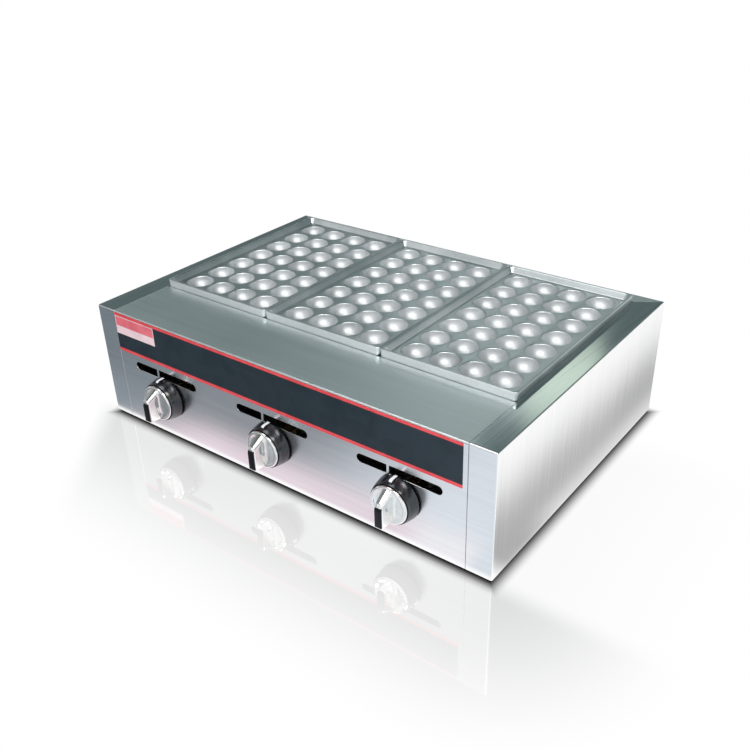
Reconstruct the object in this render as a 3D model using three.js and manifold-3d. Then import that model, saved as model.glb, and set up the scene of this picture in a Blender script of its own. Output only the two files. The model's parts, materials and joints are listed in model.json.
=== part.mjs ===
// Takoyaki maker: a table-top gas grill with three lift-out plates of round cups.
// Lengths are in millimetres, +Z is up, and whoever cooks stands on the -Y side.
// The origin lies on the floor, under the middle of the whole object's outer box.

import * as THREE from 'three';
import { mergeVertices } from 'three/addons/utils/BufferGeometryUtils.js';
import { RoundedBoxGeometry } from 'three/addons/geometries/RoundedBoxGeometry.js';
import Module from 'manifold-3d';

const wasm = await Module();
wasm.setup();

// Body
const bodyWidth = 650;
const bodyDepth = 448;
const bodyHeight = 172;
const sheet = 1.5;
const bendRadius = 2;
const sideFlange = 35;
const rearReturn = 20;
const deckDepth = 100;
const rearStrip = 24;

// Clearances
const seamGap = 0.3;
const restGap = 0.3;
const runGap = 0.3;
const plateGap = 0.8;
const overrun = 5;

// Plates and their cups
const plateCount = 3;
const plateRise = 11;
const plateHeight = 24;
const plateWall = 4;
const plateCorner = 5;
const rimWidth = 3;
const trayDepth = 8;
const traySlope = 5;
const plateFloor = 4;
const cupPitch = 42.5;
const cupRadius = 19;
const cupDepth = 17;
const cupWall = 3.6;
const cupShoulderShare = 0.72;
const cupShoulderDepthShare = 0.7;
const cupBackShare = 0.62;

// Ledges and rails under the plates
const ledgeSheet = 1.5;
const ledgeReach = 7;
const ledgeTopLeg = 16;
const railWidth = 14;
const railHeight = 12;

// Taps, knobs and the slots above them
const valveInset = 127;
const valveHeight = 62.5;
const slotLength = 121;
const slotHeight = 12;
const slotRise = 32.3;
const slotShift = -0.5;
const bridgeWidth = 3.8;
const bridgeShift = -14.8;
const spindleRadius = 4;
const spindleFlat = 2.6;
const spindleHole = 6;
const spindleEndGap = 1;
const spindleGrip = 11;
const pushTravel = 2;
const skirtRadius = 30.6;
const skirtTaper = 2.2;
const skirtDepth = 16;
const skirtWall = 3;
const skirtBevel = 1.6;
const skirtWeb = 2.5;
const hubRadius = 9;
const hubSetback = 1.5;
const skirtClear = 0.6;
const indexWidth = 4.5;
const indexHeight = 2.4;
const dialRadius = 25.8;
const dialEdge = 1.4;
const dialDome = 2.2;
const dialShoulder = 1.8;
const dishRadius = 16.5;
const dishWall = 4.2;
const dishDepth = 2.4;
const gripRootWidth = 15;
const gripFrontWidth = 10.4;
const gripReach = 20.5;
const gripRootHalf = 24.6;
const gripTopHalf = 10.5;
const gripLowHalf = 19.6;
const gripBevel = 2;
const inlayWidth = 9.4;
const inlayDepth = 2.4;
const inlayProud = 0.8;
const inlayTop = 8.6;
const inlayBottom = 19.3;

// Gas taps behind the panel
const tapSetback = 8;
const tapFlangeRadius = 13;
const tapFlange = 4;
const tapRadius = 10;
const tapLength = 33;
const tapBossRadius = 6;
const tapBoss = 4;
const tapStemSetback = 19.5;
const tapBore = 2;
const tapStemRadius = 5.5;
const coneMouthRadius = 7;
const coneTailRadius = 5;
const coneLength = 18;
const coneSetback = 6;
const coneWeb = 2;
const socketDepth = 9;

// Gas line
const pipeRadius = 9;
const pipeWall = 2;
const manifoldDrop = 31;
const manifoldEnd = 32;
const portRadius = 2.4;
const inletInset = 36;
const inletGap = 0.8;
const barbRadius = 6;
const barbFlare = 1.6;
const barbReach = 34;
const barbRings = 3;
const barbHexRadius = 13;
const barbHex = 8;
const barbStem = 12;
const barbBore = 3.5;
const bracketWidth = 24;
const bracketSheet = 3;
const bracketFoot = 20;
const bracketMargin = 6;

// Burners
const burnerRise = 106;
const burnerWidth = 70;
const burnerHeight = 18;
const burnerWall = 3;
const burnerFrontInset = 28;
const burnerRearInset = 28;
const plenumWidth = 40;
const plenumLength = 38;
const plenumDrop = 15;
const flameSlots = 7;
const flameSlotWidth = 3;
const flameSlotLength = 15;
const flameRow = 22;
const tubeMouthRadius = 16;
const tubeThroatRadius = 9;
const tubeNeckRadius = 11;
const tubeWall = 2;
const tubeBell = 14;
const tubeThroat = 22;
const injectorHexRadius = 6.5;
const injectorHex = 5;
const injectorRadius = 3.5;
const injectorLength = 11;
const injectorTip = 1.5;
const injectorBore = 1;
const shutterWall = 2;
const shutterSleeve = 7;
const shutterHole = 7;
const shutterStandoff = 2.5;
const shutterGap = 0.8;
const windowRadius = 2.6;
const windowPlace = 10.6;
const shutterTab = 13;
const shutterTabWidth = 7;
const shutterWindows = 4;
const crossRail = 18;
const crossSheet = 2;
const burnerRailShares = [0.3, 0.86];

// Front decal and label
const decalThick = 0.4;
const decalHeight = 58.6;
const decalTopMargin = 2.6;
const decalEndMargin = 6.5;
const labelThick = 0.4;
const labelWidth = 79;
const labelHeight = 27;
const labelTopMargin = 6.5;
const labelSideMargin = 1;

// Tray, feet and fasteners
const trayEdge = 14;
const airSlotLength = 90;
const airSlotWidth = 8;
const airSlotPitch = 30;
const airSlotCount = 3;
const ventLength = 34;
const ventWidth = 5;
const ventPitch = 22;
const ventCount = 5;
const ventDrop = 40;
const footHeight = 6;
const footRadius = 14;
const footTaper = 2;
const footInset = 38;
const footStem = 4;
const footBulb = 5.5;
const footBulbHeight = 2.5;
const screwRadius = 2.5;
const screwHeadRadius = 4.6;
const screwHead = 2.4;
const screwLength = 9;
const rearScrewCount = 2;
const rearScrewRise = 7.5;
const rearScrewInset = 85;

// Numbers of flat sides on round shapes
const fineSides = 24;
const plainSides = 12;
const smallSides = 8;
const hexSides = 6;
const cupSides = 12;
const cupBackSides = 6;
const bendSteps = 2;
const endSteps = 4;
const shaftSteps = 8;
const cornerSteps = 3;

// Places that follow from the sizes above
const frontY = -bodyDepth / 2;
const backY = bodyDepth / 2;
const baseZ = footHeight;
const topZ = baseZ + bodyHeight;
const halfWidth = bodyWidth / 2;
const openHalf = halfWidth - sideFlange;
const openFront = frontY + deckDepth;
const openBack = backY - rearStrip;
const openMid = (openFront + openBack) / 2;
const platePitch = 2 * openHalf / plateCount;
const plateWidth = platePitch - plateGap;
const plateLength = openBack - openFront - 2 * plateGap;
const trayInset = rimWidth + traySlope;
const trayWidth = plateWidth - 2 * trayInset;
const trayLength = plateLength - 2 * trayInset;
const cupColumns = Math.floor(trayWidth / cupPitch);
const cupRows = Math.floor(trayLength / cupPitch);
const rimZ = topZ + plateRise;
const plateBaseZ = rimZ - plateHeight;
const seatZ = plateBaseZ - restGap;
const cookZ = rimZ - trayDepth;
const valvePitch = halfWidth - valveInset;
const valveZ = baseZ + valveHeight;
const trayTopZ = baseZ + sheet;
const tapFront = frontY + sheet + tapSetback;
const tapEnd = tapFront + tapLength + tapBoss;
const coneFront = tapFront + coneSetback;
const coneEnd = coneFront + coneLength;
const coneWay = coneFront + socketDepth + coneWeb;
const manifoldY = tapFront + tapStemSetback;
const pipeZ = valveZ - manifoldDrop;
const inletX = halfWidth - inletInset;
const shutterFront = tapEnd + injectorHex + shutterStandoff;
const tubeFront = shutterFront + shutterWall + runGap;
const burnerZ = baseZ + burnerRise;
const burnerFront = openFront + burnerFrontInset;
const burnerBack = openBack - burnerRearInset;
const burnerMid = (burnerFront + burnerBack) / 2;
const skirtRear = frontY - pushTravel - skirtClear;
const skirtFace = skirtRear - skirtDepth;
const spindleFront = skirtRear - spindleGrip;
const gripFront = skirtFace - dialEdge - gripReach;
const inlayBack = gripFront - inlayProud + inlayDepth;
const frontReach = frontY - gripFront + inlayProud;
const rearScrewZ = baseZ + rearScrewRise;
const rearScrewPitch = bodyWidth - 2 * rearScrewInset;
const footX = halfWidth - footInset;
const footY = backY - footInset;
const footPlaces = [[-footX, -footY], [footX, -footY], [-footX, footY], [footX, footY]];

// A closed three.js geometry as a solid, its faces turned outwards
function solid(geometry) {
  const bare = geometry.clone();
  bare.deleteAttribute('normal');
  bare.deleteAttribute('uv');
  const merged = mergeVertices(bare);
  const points = merged.attributes.position;
  const index = merged.index.array;
  const corners = [];
  const a = new THREE.Vector3();
  const b = new THREE.Vector3();
  const c = new THREE.Vector3();
  let volume = 0;
  for (let i = 0; i < index.length; i += 3) {
    const [first, second, third] = [index[i], index[i + 1], index[i + 2]];
    if (first === second || second === third || third === first) continue;
    corners.push(first, second, third);
    a.fromBufferAttribute(points, first);
    b.fromBufferAttribute(points, second);
    c.fromBufferAttribute(points, third);
    volume += a.dot(b.cross(c));
  }
  if (volume < 0) corners.reverse();
  const vertProperties = new Float32Array(points.array);
  const triVerts = new Uint32Array(corners);
  return new wasm.Manifold(new wasm.Mesh({ numProp: 3, vertProperties, triVerts }));
}

// The finished solid as a named, placed mesh
function piece(name, material, body, x = 0, y = 0, z = 0) {
  const made = body.getMesh();
  const geometry = new THREE.BufferGeometry();
  geometry.setAttribute('position', new THREE.BufferAttribute(new Float32Array(made.vertProperties), 3));
  geometry.setIndex(new THREE.BufferAttribute(new Uint32Array(made.triVerts), 1));
  geometry.computeVertexNormals();
  const mesh = new THREE.Mesh(geometry, material);
  mesh.name = name;
  mesh.position.set(x, y, z);
  return mesh;
}

// A box between two corners
function block(x0, x1, y0, y1, z0, z1) {
  const box = new THREE.BoxGeometry(x1 - x0, y1 - y0, z1 - z0);
  box.translate((x0 + x1) / 2, (y0 + y1) / 2, (z0 + z1) / 2);
  return solid(box);
}

// An outline in X and Y, raised along Z
function raised(shape, height, steps = endSteps) {
  return new THREE.ExtrudeGeometry(shape, { depth: height, bevelEnabled: false, curveSegments: steps });
}

// An outline in X and Z, drawn out along Y from 0 to depth
function alongY(shape, depth) {
  return raised(shape, depth).rotateX(Math.PI / 2).translate(0, depth, 0);
}

// An outline in Y and Z, drawn out along X from 0 to length
function alongX(shape, length) {
  const turn = new THREE.Matrix4().makeBasis(
    new THREE.Vector3(0, 1, 0), new THREE.Vector3(0, 0, 1), new THREE.Vector3(1, 0, 0));
  return raised(shape, length).applyMatrix4(turn);
}

// A polygon through the given points
function polygon(points) {
  return new THREE.Shape(points.map(([u, v]) => new THREE.Vector2(u, v)));
}

// A profile of [radius, y] points, turned about the Y axis
function turned(profile, sides = plainSides) {
  return new THREE.LatheGeometry(profile.map(([r, y]) => new THREE.Vector2(r, y)), sides);
}

// The same about the Z axis, with [radius, z] points
function turnedUp(profile, sides = plainSides) {
  return turned(profile, sides).rotateX(Math.PI / 2);
}

// A ring's profile comes back to its first point
function closed(profile) {
  return [...profile, profile[0]];
}

// A plain round rod along Y, Z or X, from one end to the other
function rodY(radius, y0, y1, sides = plainSides) {
  return solid(turned([[0, y0], [radius, y0], [radius, y1], [0, y1]], sides));
}

function rodZ(radius, z0, z1, sides = plainSides) {
  return solid(turnedUp([[0, z0], [radius, z0], [radius, z1], [0, z1]], sides));
}

function rodX(radius, x0, x1, sides = plainSides) {
  return solid(turned([[0, -x1], [radius, -x1], [radius, -x0], [0, -x0]], sides).rotateZ(Math.PI / 2));
}

// A slot outline with round ends, its length along the first axis
function obround(length, height) {
  const radius = height / 2;
  const reach = length / 2 - radius;
  const shape = new THREE.Shape();
  shape.absarc(reach, 0, radius, -Math.PI / 2, Math.PI / 2);
  shape.absarc(-reach, 0, radius, Math.PI / 2, 1.5 * Math.PI);
  shape.closePath();
  return shape;
}

// A rectangle outline with round corners, centred
function roundedRectangle(width, length, radius) {
  const u = width / 2 - radius;
  const v = length / 2 - radius;
  const shape = new THREE.Shape();
  shape.absarc(u, v, radius, 0, Math.PI / 2);
  shape.absarc(-u, v, radius, Math.PI / 2, Math.PI);
  shape.absarc(-u, -v, radius, Math.PI, 1.5 * Math.PI);
  shape.absarc(u, -v, radius, 1.5 * Math.PI, 2 * Math.PI);
  shape.closePath();
  return shape;
}

// Evenly spaced places about zero
function spread(count, pitch) {
  return Array.from({ length: count }, (_, i) => (i - (count - 1) / 2) * pitch);
}

// Materials
function metal(color, roughness, metalness = 1) {
  return new THREE.MeshStandardMaterial({ color, roughness, metalness });
}
const steelMaterial = metal(0xc9cccd, 0.35);
const deckMaterial = metal(0xb5b9b6, 0.4);
const innerMaterial = metal(0x9fa2a3, 0.5);
const castMaterial = metal(0xb9bbbb, 0.45);
const ironMaterial = metal(0x3b3a38, 0.8, 0.6);
const brassMaterial = metal(0xb8944a, 0.35);
const chromeMaterial = metal(0xe6e8ea, 0.08);
const blackMaterial = metal(0x15171a, 0.3, 0);
const rubberMaterial = metal(0x1c1c1c, 0.9, 0);
const decalMaterial = metal(0x2a3138, 0.4, 0);
const labelMaterial = metal(0xd8434f, 0.5, 0);

// The outer skin as one bent sheet, open at the bottom, which the panels are cut from
function bodySkin() {
  const tall = bodyHeight + 2 * bendRadius;
  const box = new RoundedBoxGeometry(bodyWidth, bodyDepth, tall, bendSteps, bendRadius);
  const outer = solid(box.translate(0, 0, topZ - tall / 2));
  const inner = block(-halfWidth + sheet, halfWidth - sheet, frontY + sheet, backY - sheet,
    baseZ - tall, topZ - sheet);
  const below = block(-bodyWidth, bodyWidth, -bodyDepth, bodyDepth, baseZ - tall, baseZ);
  return outer.subtract(inner).subtract(below);
}
const skin = bodySkin();

// The rear strip's plan, with mitred ends; grow moves its front and mitre edges forwards
function mitredStrip(grow, z0) {
  const slope = rearStrip / sideFlange;
  const out = halfWidth + overrun;
  const outY = backY + overrun * slope - grow;
  const shape = polygon([
    [-openHalf, openBack - grow], [openHalf, openBack - grow], [out, outY],
    [out, backY + bodyDepth], [-out, backY + bodyDepth], [-out, outY]]);
  return solid(raised(shape, topZ + overrun - z0).translate(0, 0, z0));
}

// A side panel: the wall with its front flange, top strip and rear return
function sidePanel(side) {
  const edge = side * openHalf;
  const outside = side * (halfWidth + overrun);
  const region = block(Math.min(edge, outside), Math.max(edge, outside),
    frontY - overrun, backY + overrun, baseZ - overrun, topZ + overrun);
  const returnEdge = side * (halfWidth - rearReturn);
  const innerEdge = side * (openHalf - overrun);
  const rearCut = block(Math.min(returnEdge, innerEdge), Math.max(returnEdge, innerEdge),
    backY - sheet, backY + overrun, baseZ - overrun, topZ + overrun);
  const strip = mitredStrip(seamGap, topZ - sheet - seamGap);
  return skin.intersect(region).subtract(rearCut).subtract(strip);
}

// The control panel with its sight slots and spindle holes
function frontPanel() {
  const half = openHalf - seamGap;
  let panel = skin.intersect(block(-half, half, frontY - overrun, frontY + sheet,
    baseZ - overrun, topZ - bendRadius - seamGap));
  const slotZ = valveZ + slotRise;
  for (const x of spread(plateCount, valvePitch)) {
    const slot = solid(alongY(obround(slotLength, slotHeight), 2 * overrun)
      .translate(x + slotShift, frontY - overrun, slotZ));
    const bridgeX = x + slotShift + bridgeShift;
    const bridge = block(bridgeX - bridgeWidth / 2, bridgeX + bridgeWidth / 2,
      frontY - 2 * overrun, frontY + 2 * overrun, slotZ - slotHeight, slotZ + slotHeight);
    panel = panel.subtract(slot.subtract(bridge));
    panel = panel.subtract(rodY(spindleHole, -overrun, overrun).translate(x, frontY, valveZ));
  }
  return panel;
}

// The sheet between the control panel and the plates, with the bent front edge
function frontDeck() {
  const half = openHalf - seamGap;
  return skin.intersect(block(-half, half, frontY - overrun, openFront,
    topZ - bendRadius, topZ + overrun));
}

// The rear wall with its mitred top strip, vents and gas inlet hole
function rearPanel() {
  const half = halfWidth - rearReturn - seamGap;
  const wall = block(-half, half, backY - sheet, backY + overrun, baseZ - overrun, topZ + overrun);
  let panel = skin.intersect(wall.add(mitredStrip(0, topZ - sheet)));
  const ventZ = topZ - ventDrop;
  for (const x of spread(plateCount, platePitch)) {
    for (const step of spread(ventCount, ventPitch)) {
      const middle = x + step;
      panel = panel.subtract(block(middle - ventWidth / 2, middle + ventWidth / 2,
        backY - overrun, backY + overrun, ventZ - ventLength / 2, ventZ + ventLength / 2));
    }
  }
  for (const x of spread(rearScrewCount, rearScrewPitch)) {
    panel = panel.subtract(rodY(screwRadius + runGap, -overrun, overrun, smallSides)
      .translate(x, backY, rearScrewZ));
  }
  return panel.subtract(rodY(pipeRadius + inletGap, -overrun, overrun).translate(inletX, backY, pipeZ));
}

// The folded floor sheet with upturned edges, air slots and screw holes
function bottomTray() {
  const x = halfWidth - sheet - seamGap;
  const y0 = frontY + sheet + seamGap;
  const y1 = backY - sheet - seamGap;
  let tray = block(-x, x, y0, y1, baseZ, baseZ + trayEdge);
  tray = tray.subtract(block(-x + sheet, x - sheet, y0 + sheet, y1 - sheet, trayTopZ, topZ));
  for (const plateX of spread(plateCount, platePitch)) {
    for (const step of spread(airSlotCount, airSlotPitch)) {
      const middle = plateX + step;
      tray = tray.subtract(block(middle - airSlotWidth / 2, middle + airSlotWidth / 2,
        openMid - airSlotLength / 2, openMid + airSlotLength / 2, baseZ - overrun, trayTopZ + overrun));
    }
  }
  for (const [footAtX, footAtY] of footPlaces) {
    tray = tray.subtract(rodZ(footStem + runGap, baseZ - overrun, trayTopZ + overrun)
      .translate(footAtX, footAtY, 0));
  }
  for (const screwX of spread(rearScrewCount, rearScrewPitch)) {
    tray = tray.subtract(rodY(screwRadius + runGap, -overrun, overrun, smallSides)
      .translate(screwX, y1, rearScrewZ));
  }
  return tray;
}

// A rubber foot whose stem snaps into the tray
function foot() {
  const over = trayTopZ + runGap;
  return solid(turnedUp([
    [0, 0], [footRadius - footTaper, 0], [footRadius, footHeight], [footStem, footHeight],
    [footStem, over], [footBulb, over], [footStem, over + footBulbHeight], [0, over + footBulbHeight]]));
}

// A rear screw, its head's inner face at zero and its shank running forwards
function rearScrew() {
  return solid(turned([
    [0, screwHead], [screwHeadRadius, screwHead], [screwHeadRadius, 0],
    [screwRadius, 0], [screwRadius, -screwLength], [0, -screwLength]], smallSides));
}

// A ledge's folded section: u runs into the opening from its edge
function ledgeSection(place) {
  const top = topZ - sheet;
  return polygon([
    [-ledgeTopLeg, top], [0, top], [0, seatZ], [ledgeReach, seatZ], [ledgeReach, seatZ - ledgeSheet],
    [-ledgeSheet, seatZ - ledgeSheet], [-ledgeSheet, top - ledgeSheet], [-ledgeTopLeg, top - ledgeSheet],
  ].map(([u, z]) => [place(u), z]));
}

function crossLedge(place) {
  return solid(alongX(ledgeSection(place), 2 * openHalf)).translate(-openHalf, 0, 0);
}

function sideLedge(place) {
  const start = openFront + ledgeReach + seamGap;
  const end = openBack - ledgeReach - seamGap;
  return solid(alongY(ledgeSection(place), end - start)).translate(0, start, 0);
}

// A channel under the joint between two plates, its ends tucked under the ledges
function plateRail() {
  const half = railWidth / 2;
  const under = seatZ - ledgeSheet;
  const low = seatZ - railHeight;
  const channel = polygon([
    [-half, low], [-half + ledgeSheet, low], [-half + ledgeSheet, under - ledgeSheet],
    [half - ledgeSheet, under - ledgeSheet], [half - ledgeSheet, low], [half, low],
    [half, under], [-half, under]]);
  const capInset = ledgeReach + seamGap;
  const cap = block(-half, half, openFront + capInset, openBack - capInset, under, seatZ);
  return solid(alongY(channel, openBack - openFront)).translate(0, openFront, 0).add(cap);
}

// A cast plate: a shallow tray whose floor is sunk into round cups
function cookingPlate() {
  const outline = roundedRectangle(plateWidth, plateLength, plateCorner);
  let plate = solid(raised(outline, plateHeight, cornerSteps)).translate(0, 0, plateBaseZ);
  const floorOutline = roundedRectangle(trayWidth, trayLength, Math.max(plateCorner - trayInset, rimWidth));
  const well = new THREE.ExtrudeGeometry(floorOutline, { depth: overrun, curveSegments: cornerSteps,
    bevelThickness: trayDepth, bevelSize: traySlope, bevelSegments: 1 });
  plate = plate.subtract(solid(well).translate(0, 0, rimZ));
  const hollow = roundedRectangle(plateWidth - 2 * plateWall, plateLength - 2 * plateWall,
    plateCorner - plateWall);
  const hollowHeight = cookZ - plateFloor - plateBaseZ;
  plate = plate.subtract(solid(raised(hollow, hollowHeight + overrun, cornerSteps))
    .translate(0, 0, plateBaseZ - overrun));
  const back = cupBack();
  const hole = cupHole();
  const places = [];
  for (const x of spread(cupColumns, cupPitch)) {
    for (const y of spread(cupRows, cupPitch)) places.push([x, y]);
  }
  plate = plate.add(wasm.Manifold.union(places.map(([x, y]) => back.translate(x, y, cookZ))));
  return plate.subtract(wasm.Manifold.union(places.map(([x, y]) => hole.translate(x, y, cookZ))));
}

// The space inside a cup, about the Z axis, its mouth at zero
function cupHole() {
  return solid(turnedUp([
    [0, -cupDepth], [cupRadius * cupShoulderShare, -cupDepth * cupShoulderDepthShare],
    [cupRadius, 0], [cupRadius, trayDepth], [0, trayDepth]], cupSides));
}

// The metal round the outside of a cup, under the plate
function cupBack() {
  const radius = cupRadius + cupWall;
  const depth = cupDepth + cupWall;
  return solid(turnedUp([
    [0, -depth], [radius * cupBackShare, -depth],
    [radius, -plateFloor / 2], [0, -plateFloor / 2]], cupBackSides));
}

// A hollow bar burner with two rows of flame slots and an inlet box under its front end
function burnerHead() {
  const wall = burnerWall;
  const low = burnerZ - burnerHeight - valveZ;
  const high = burnerZ - valveZ;
  const half = burnerWidth / 2;
  const boxHalf = plenumWidth / 2;
  const boxEnd = burnerFront + plenumLength;
  const outer = block(-half, half, burnerFront, burnerBack, low, high)
    .add(block(-boxHalf, boxHalf, burnerFront, boxEnd, -plenumDrop, high - wall));
  const hollow = block(-half + wall, half - wall, burnerFront + wall, burnerBack - wall,
    low + wall, high - wall)
    .add(block(-boxHalf + wall, boxHalf - wall, burnerFront + wall, boxEnd - wall,
      -plenumDrop + wall, high - wall));
  let head = outer.subtract(hollow);
  const pitch = (burnerBack - burnerFront) / (flameSlots + 1);
  for (const y of spread(flameSlots, pitch)) {
    for (const side of [-1, 1]) {
      const x = side * flameRow;
      head = head.subtract(block(x - flameSlotLength / 2, x + flameSlotLength / 2,
        burnerMid + y - flameSlotWidth / 2, burnerMid + y + flameSlotWidth / 2,
        high - wall - overrun / 2, high + overrun));
    }
  }
  return head.subtract(rodY(tubeNeckRadius - tubeWall, burnerFront - overrun, burnerFront + overrun));
}

// Windows in the shutter and in the mixing tube's mouth, which line up when the shutter is open
function mouthWindows(y0, y1) {
  const windows = Array.from({ length: shutterWindows }, (_, i) => {
    const angle = (i + 0.5) * 2 * Math.PI / shutterWindows;
    return rodY(windowRadius, y0, y1, hexSides)
      .translate(windowPlace * Math.cos(angle), 0, windowPlace * Math.sin(angle));
  });
  return wasm.Manifold.union(windows);
}

// The mixing tube: a bell mouth, a narrow throat and a widening neck
function mixingTube() {
  const start = tubeFront;
  const bell = start + shutterSleeve + tubeBell;
  const throat = bell + tubeThroat;
  const outline = [
    [tubeMouthRadius, start], [tubeMouthRadius, start + shutterSleeve], [tubeThroatRadius, bell],
    [tubeThroatRadius, throat], [tubeNeckRadius, burnerFront]];
  const bore = outline.slice(1).map(([r, y]) => [r - tubeWall, y]).reverse();
  const mouth = [
    [tubeMouthRadius - tubeWall, start + tubeWall], [shutterHole, start + tubeWall], [shutterHole, start]];
  return solid(turned(closed([...outline, ...bore, ...mouth])))
    .subtract(mouthWindows(start - overrun, start + tubeWall + overrun / 2));
}

// The shutter: a cap that turns on the mixing tube's mouth, with a finger tab
function airShutter() {
  const inner = tubeMouthRadius + shutterGap;
  const outer = inner + shutterWall;
  const face = shutterFront + shutterWall;
  const cap = solid(turned(closed([
    [shutterHole, shutterFront], [outer, shutterFront], [outer, face + shutterSleeve],
    [inner, face + shutterSleeve], [inner, face], [shutterHole, face]])));
  const half = shutterTabWidth / 2;
  const tab = block(-half, half, shutterFront, face, outer - shutterWall / 2, outer + shutterTab);
  return cap.subtract(mouthWindows(shutterFront - overrun, face + overrun / 2)).add(tab);
}

// The brass nozzle on the tap's outlet, turned from hexagon bar
function injector() {
  const hex = tapEnd + injectorHex;
  const end = hex + injectorLength;
  return solid(turned(closed([
    [injectorBore, tapEnd], [injectorHexRadius, tapEnd], [injectorHexRadius, hex],
    [injectorRadius, hex], [injectorRadius, end - injectorTip], [injectorRadius - injectorTip, end],
    [injectorBore, end]]), hexSides));
}

// The tap's body, with a tapered seat for its cone and a stem that sits on the manifold
function valveBody() {
  const outer = solid(turned([
    [0, tapFront], [tapFlangeRadius, tapFront], [tapFlangeRadius, tapFront + tapFlange],
    [tapRadius, tapFront + tapFlange], [tapRadius, tapFront + tapLength],
    [tapBossRadius, tapFront + tapLength], [tapBossRadius, tapEnd], [0, tapEnd]]));
  const stem = rodZ(tapStemRadius, -manifoldDrop + pipeRadius / 2, 0, smallSides)
    .translate(0, manifoldY, 0);
  const seat = solid(turned([
    [0, tapFront - overrun], [coneMouthRadius + runGap, tapFront - overrun],
    [coneMouthRadius + runGap, coneFront], [coneTailRadius + runGap, coneEnd + runGap],
    [0, coneEnd + runGap]]));
  const pipe = rodX(pipeRadius + restGap, -tapFlangeRadius, tapFlangeRadius, plainSides)
    .translate(0, manifoldY, -manifoldDrop);
  const port = rodZ(portRadius, -manifoldDrop, 0, smallSides).translate(0, manifoldY, 0);
  return outer.add(stem).subtract(seat).subtract(pipe).subtract(port)
    .subtract(rodY(tapBore, coneEnd, tapEnd + overrun, smallSides));
}

// A round shaft's outline with one flat, grown on all sides
function flattedShaft(grow) {
  const radius = spindleRadius + grow;
  const flat = spindleFlat + grow;
  const angle = Math.asin(flat / radius);
  const shape = new THREE.Shape();
  shape.absarc(0, 0, radius, Math.PI - angle, 2 * Math.PI + angle);
  shape.closePath();
  return shape;
}

// A length of flatted shaft or of the hole for it
function shaft(grow, y0, y1) {
  return solid(raised(flattedShaft(grow), y1 - y0, shaftSteps).rotateX(Math.PI / 2)).translate(0, y1, 0);
}

// The tap's cone: a tapered plug with a gas way and a socket for the spindle
function valveCone() {
  const cone = solid(turned([
    [0, coneFront], [coneMouthRadius, coneFront], [coneTailRadius, coneEnd], [0, coneEnd]]));
  const way = rodY(tapBore, coneWay, coneEnd + overrun, smallSides);
  const port = rodX(tapBore, -coneMouthRadius - overrun, 0, smallSides).translate(0, manifoldY, 0);
  const socket = shaft(runGap, coneFront - overrun, coneFront + socketDepth);
  return cone.subtract(way).subtract(port).subtract(socket);
}

// The push-and-turn spindle, from the cone's socket to the knob's hub
function spindle() {
  return shaft(0, spindleFront, coneFront + socketDepth - pushTravel - spindleEndGap);
}

// The knob's black skirt, with its hub and a raised index on top
function knobSkirt() {
  const rear = skirtRear;
  const face = skirtFace;
  const web = face + skirtWeb;
  const inner = skirtRadius - skirtWall;
  const frontRadius = skirtRadius - skirtTaper;
  const hubRear = rear - hubSetback;
  const body = solid(turned([
    [0, face], [frontRadius - skirtBevel, face], [frontRadius, face + skirtBevel],
    [skirtRadius, rear], [inner, rear], [inner - skirtTaper, web], [hubRadius, web],
    [hubRadius, hubRear], [0, hubRear]], fineSides));
  const index = block(-indexWidth / 2, indexWidth / 2, face + skirtBevel, rear - skirtBevel,
    frontRadius - skirtTaper, skirtRadius + indexHeight);
  return body.add(index).subtract(shaft(seamGap, spindleFront - seamGap, rear + overrun));
}

// The dished chrome dial with its upright grip, recessed for the inlay
function knobDial() {
  const rim = skirtFace - dialEdge;
  const dome = rim - dialDome;
  const disc = solid(turned([
    [0, dome + dishDepth], [dishRadius, dome + dishDepth], [dishRadius + dishWall, dome],
    [dialRadius - dialShoulder, dome], [dialRadius, rim], [dialRadius, skirtFace],
    [0, skirtFace]], fineSides));
  const root = skirtFace - dialEdge / 2;
  const side = polygon([
    [root, -gripRootHalf], [root, gripRootHalf], [gripFront + gripBevel, gripTopHalf + gripBevel],
    [gripFront, gripTopHalf], [gripFront, -gripLowHalf],
    [gripFront + gripBevel, -gripLowHalf - gripBevel]]);
  const plan = polygon([
    [-gripRootWidth / 2, root], [-gripFrontWidth / 2, gripFront],
    [gripFrontWidth / 2, gripFront], [gripRootWidth / 2, root]]);
  const profile = solid(alongX(side, gripRootWidth)).translate(-gripRootWidth / 2, 0, 0);
  const taper = solid(raised(plan, 2 * dialRadius)).translate(0, 0, -dialRadius);
  const half = inlayWidth / 2 + seamGap;
  const recess = block(-half, half, gripFront - overrun, inlayBack + seamGap,
    -dialRadius, inlayTop + seamGap);
  return disc.add(profile.intersect(taper)).subtract(recess);
}

// The black strip in the grip's front edge
function knobInlay() {
  const half = inlayWidth / 2;
  return block(-half, half, gripFront - inlayProud, inlayBack, -inlayBottom, inlayTop);
}

// The gas manifold across the body, closed at its left end
function gasManifold() {
  const reach = valvePitch + manifoldEnd;
  let pipe = rodX(pipeRadius, -reach, reach);
  pipe = pipe.subtract(rodX(pipeRadius - pipeWall, -reach + pipeWall, reach + overrun));
  for (const x of spread(plateCount, valvePitch)) {
    pipe = pipe.subtract(rodZ(portRadius, 0, pipeRadius + overrun, smallSides).translate(x, 0, 0));
  }
  return pipe;
}

// The pipe from the manifold's right end round the corner to the rear inlet
function inletPipe() {
  const start = valvePitch + manifoldEnd;
  const end = backY - sheet - barbStem;
  const run = (radius, grow) => rodX(radius, start - grow, inletX)
    .add(solid(new THREE.SphereGeometry(radius, plainSides, smallSides)).translate(inletX, 0, 0))
    .add(rodY(radius, 0, end + grow - manifoldY).translate(inletX, 0, 0));
  return run(pipeRadius, 0).subtract(run(pipeRadius - pipeWall, overrun));
}

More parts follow.
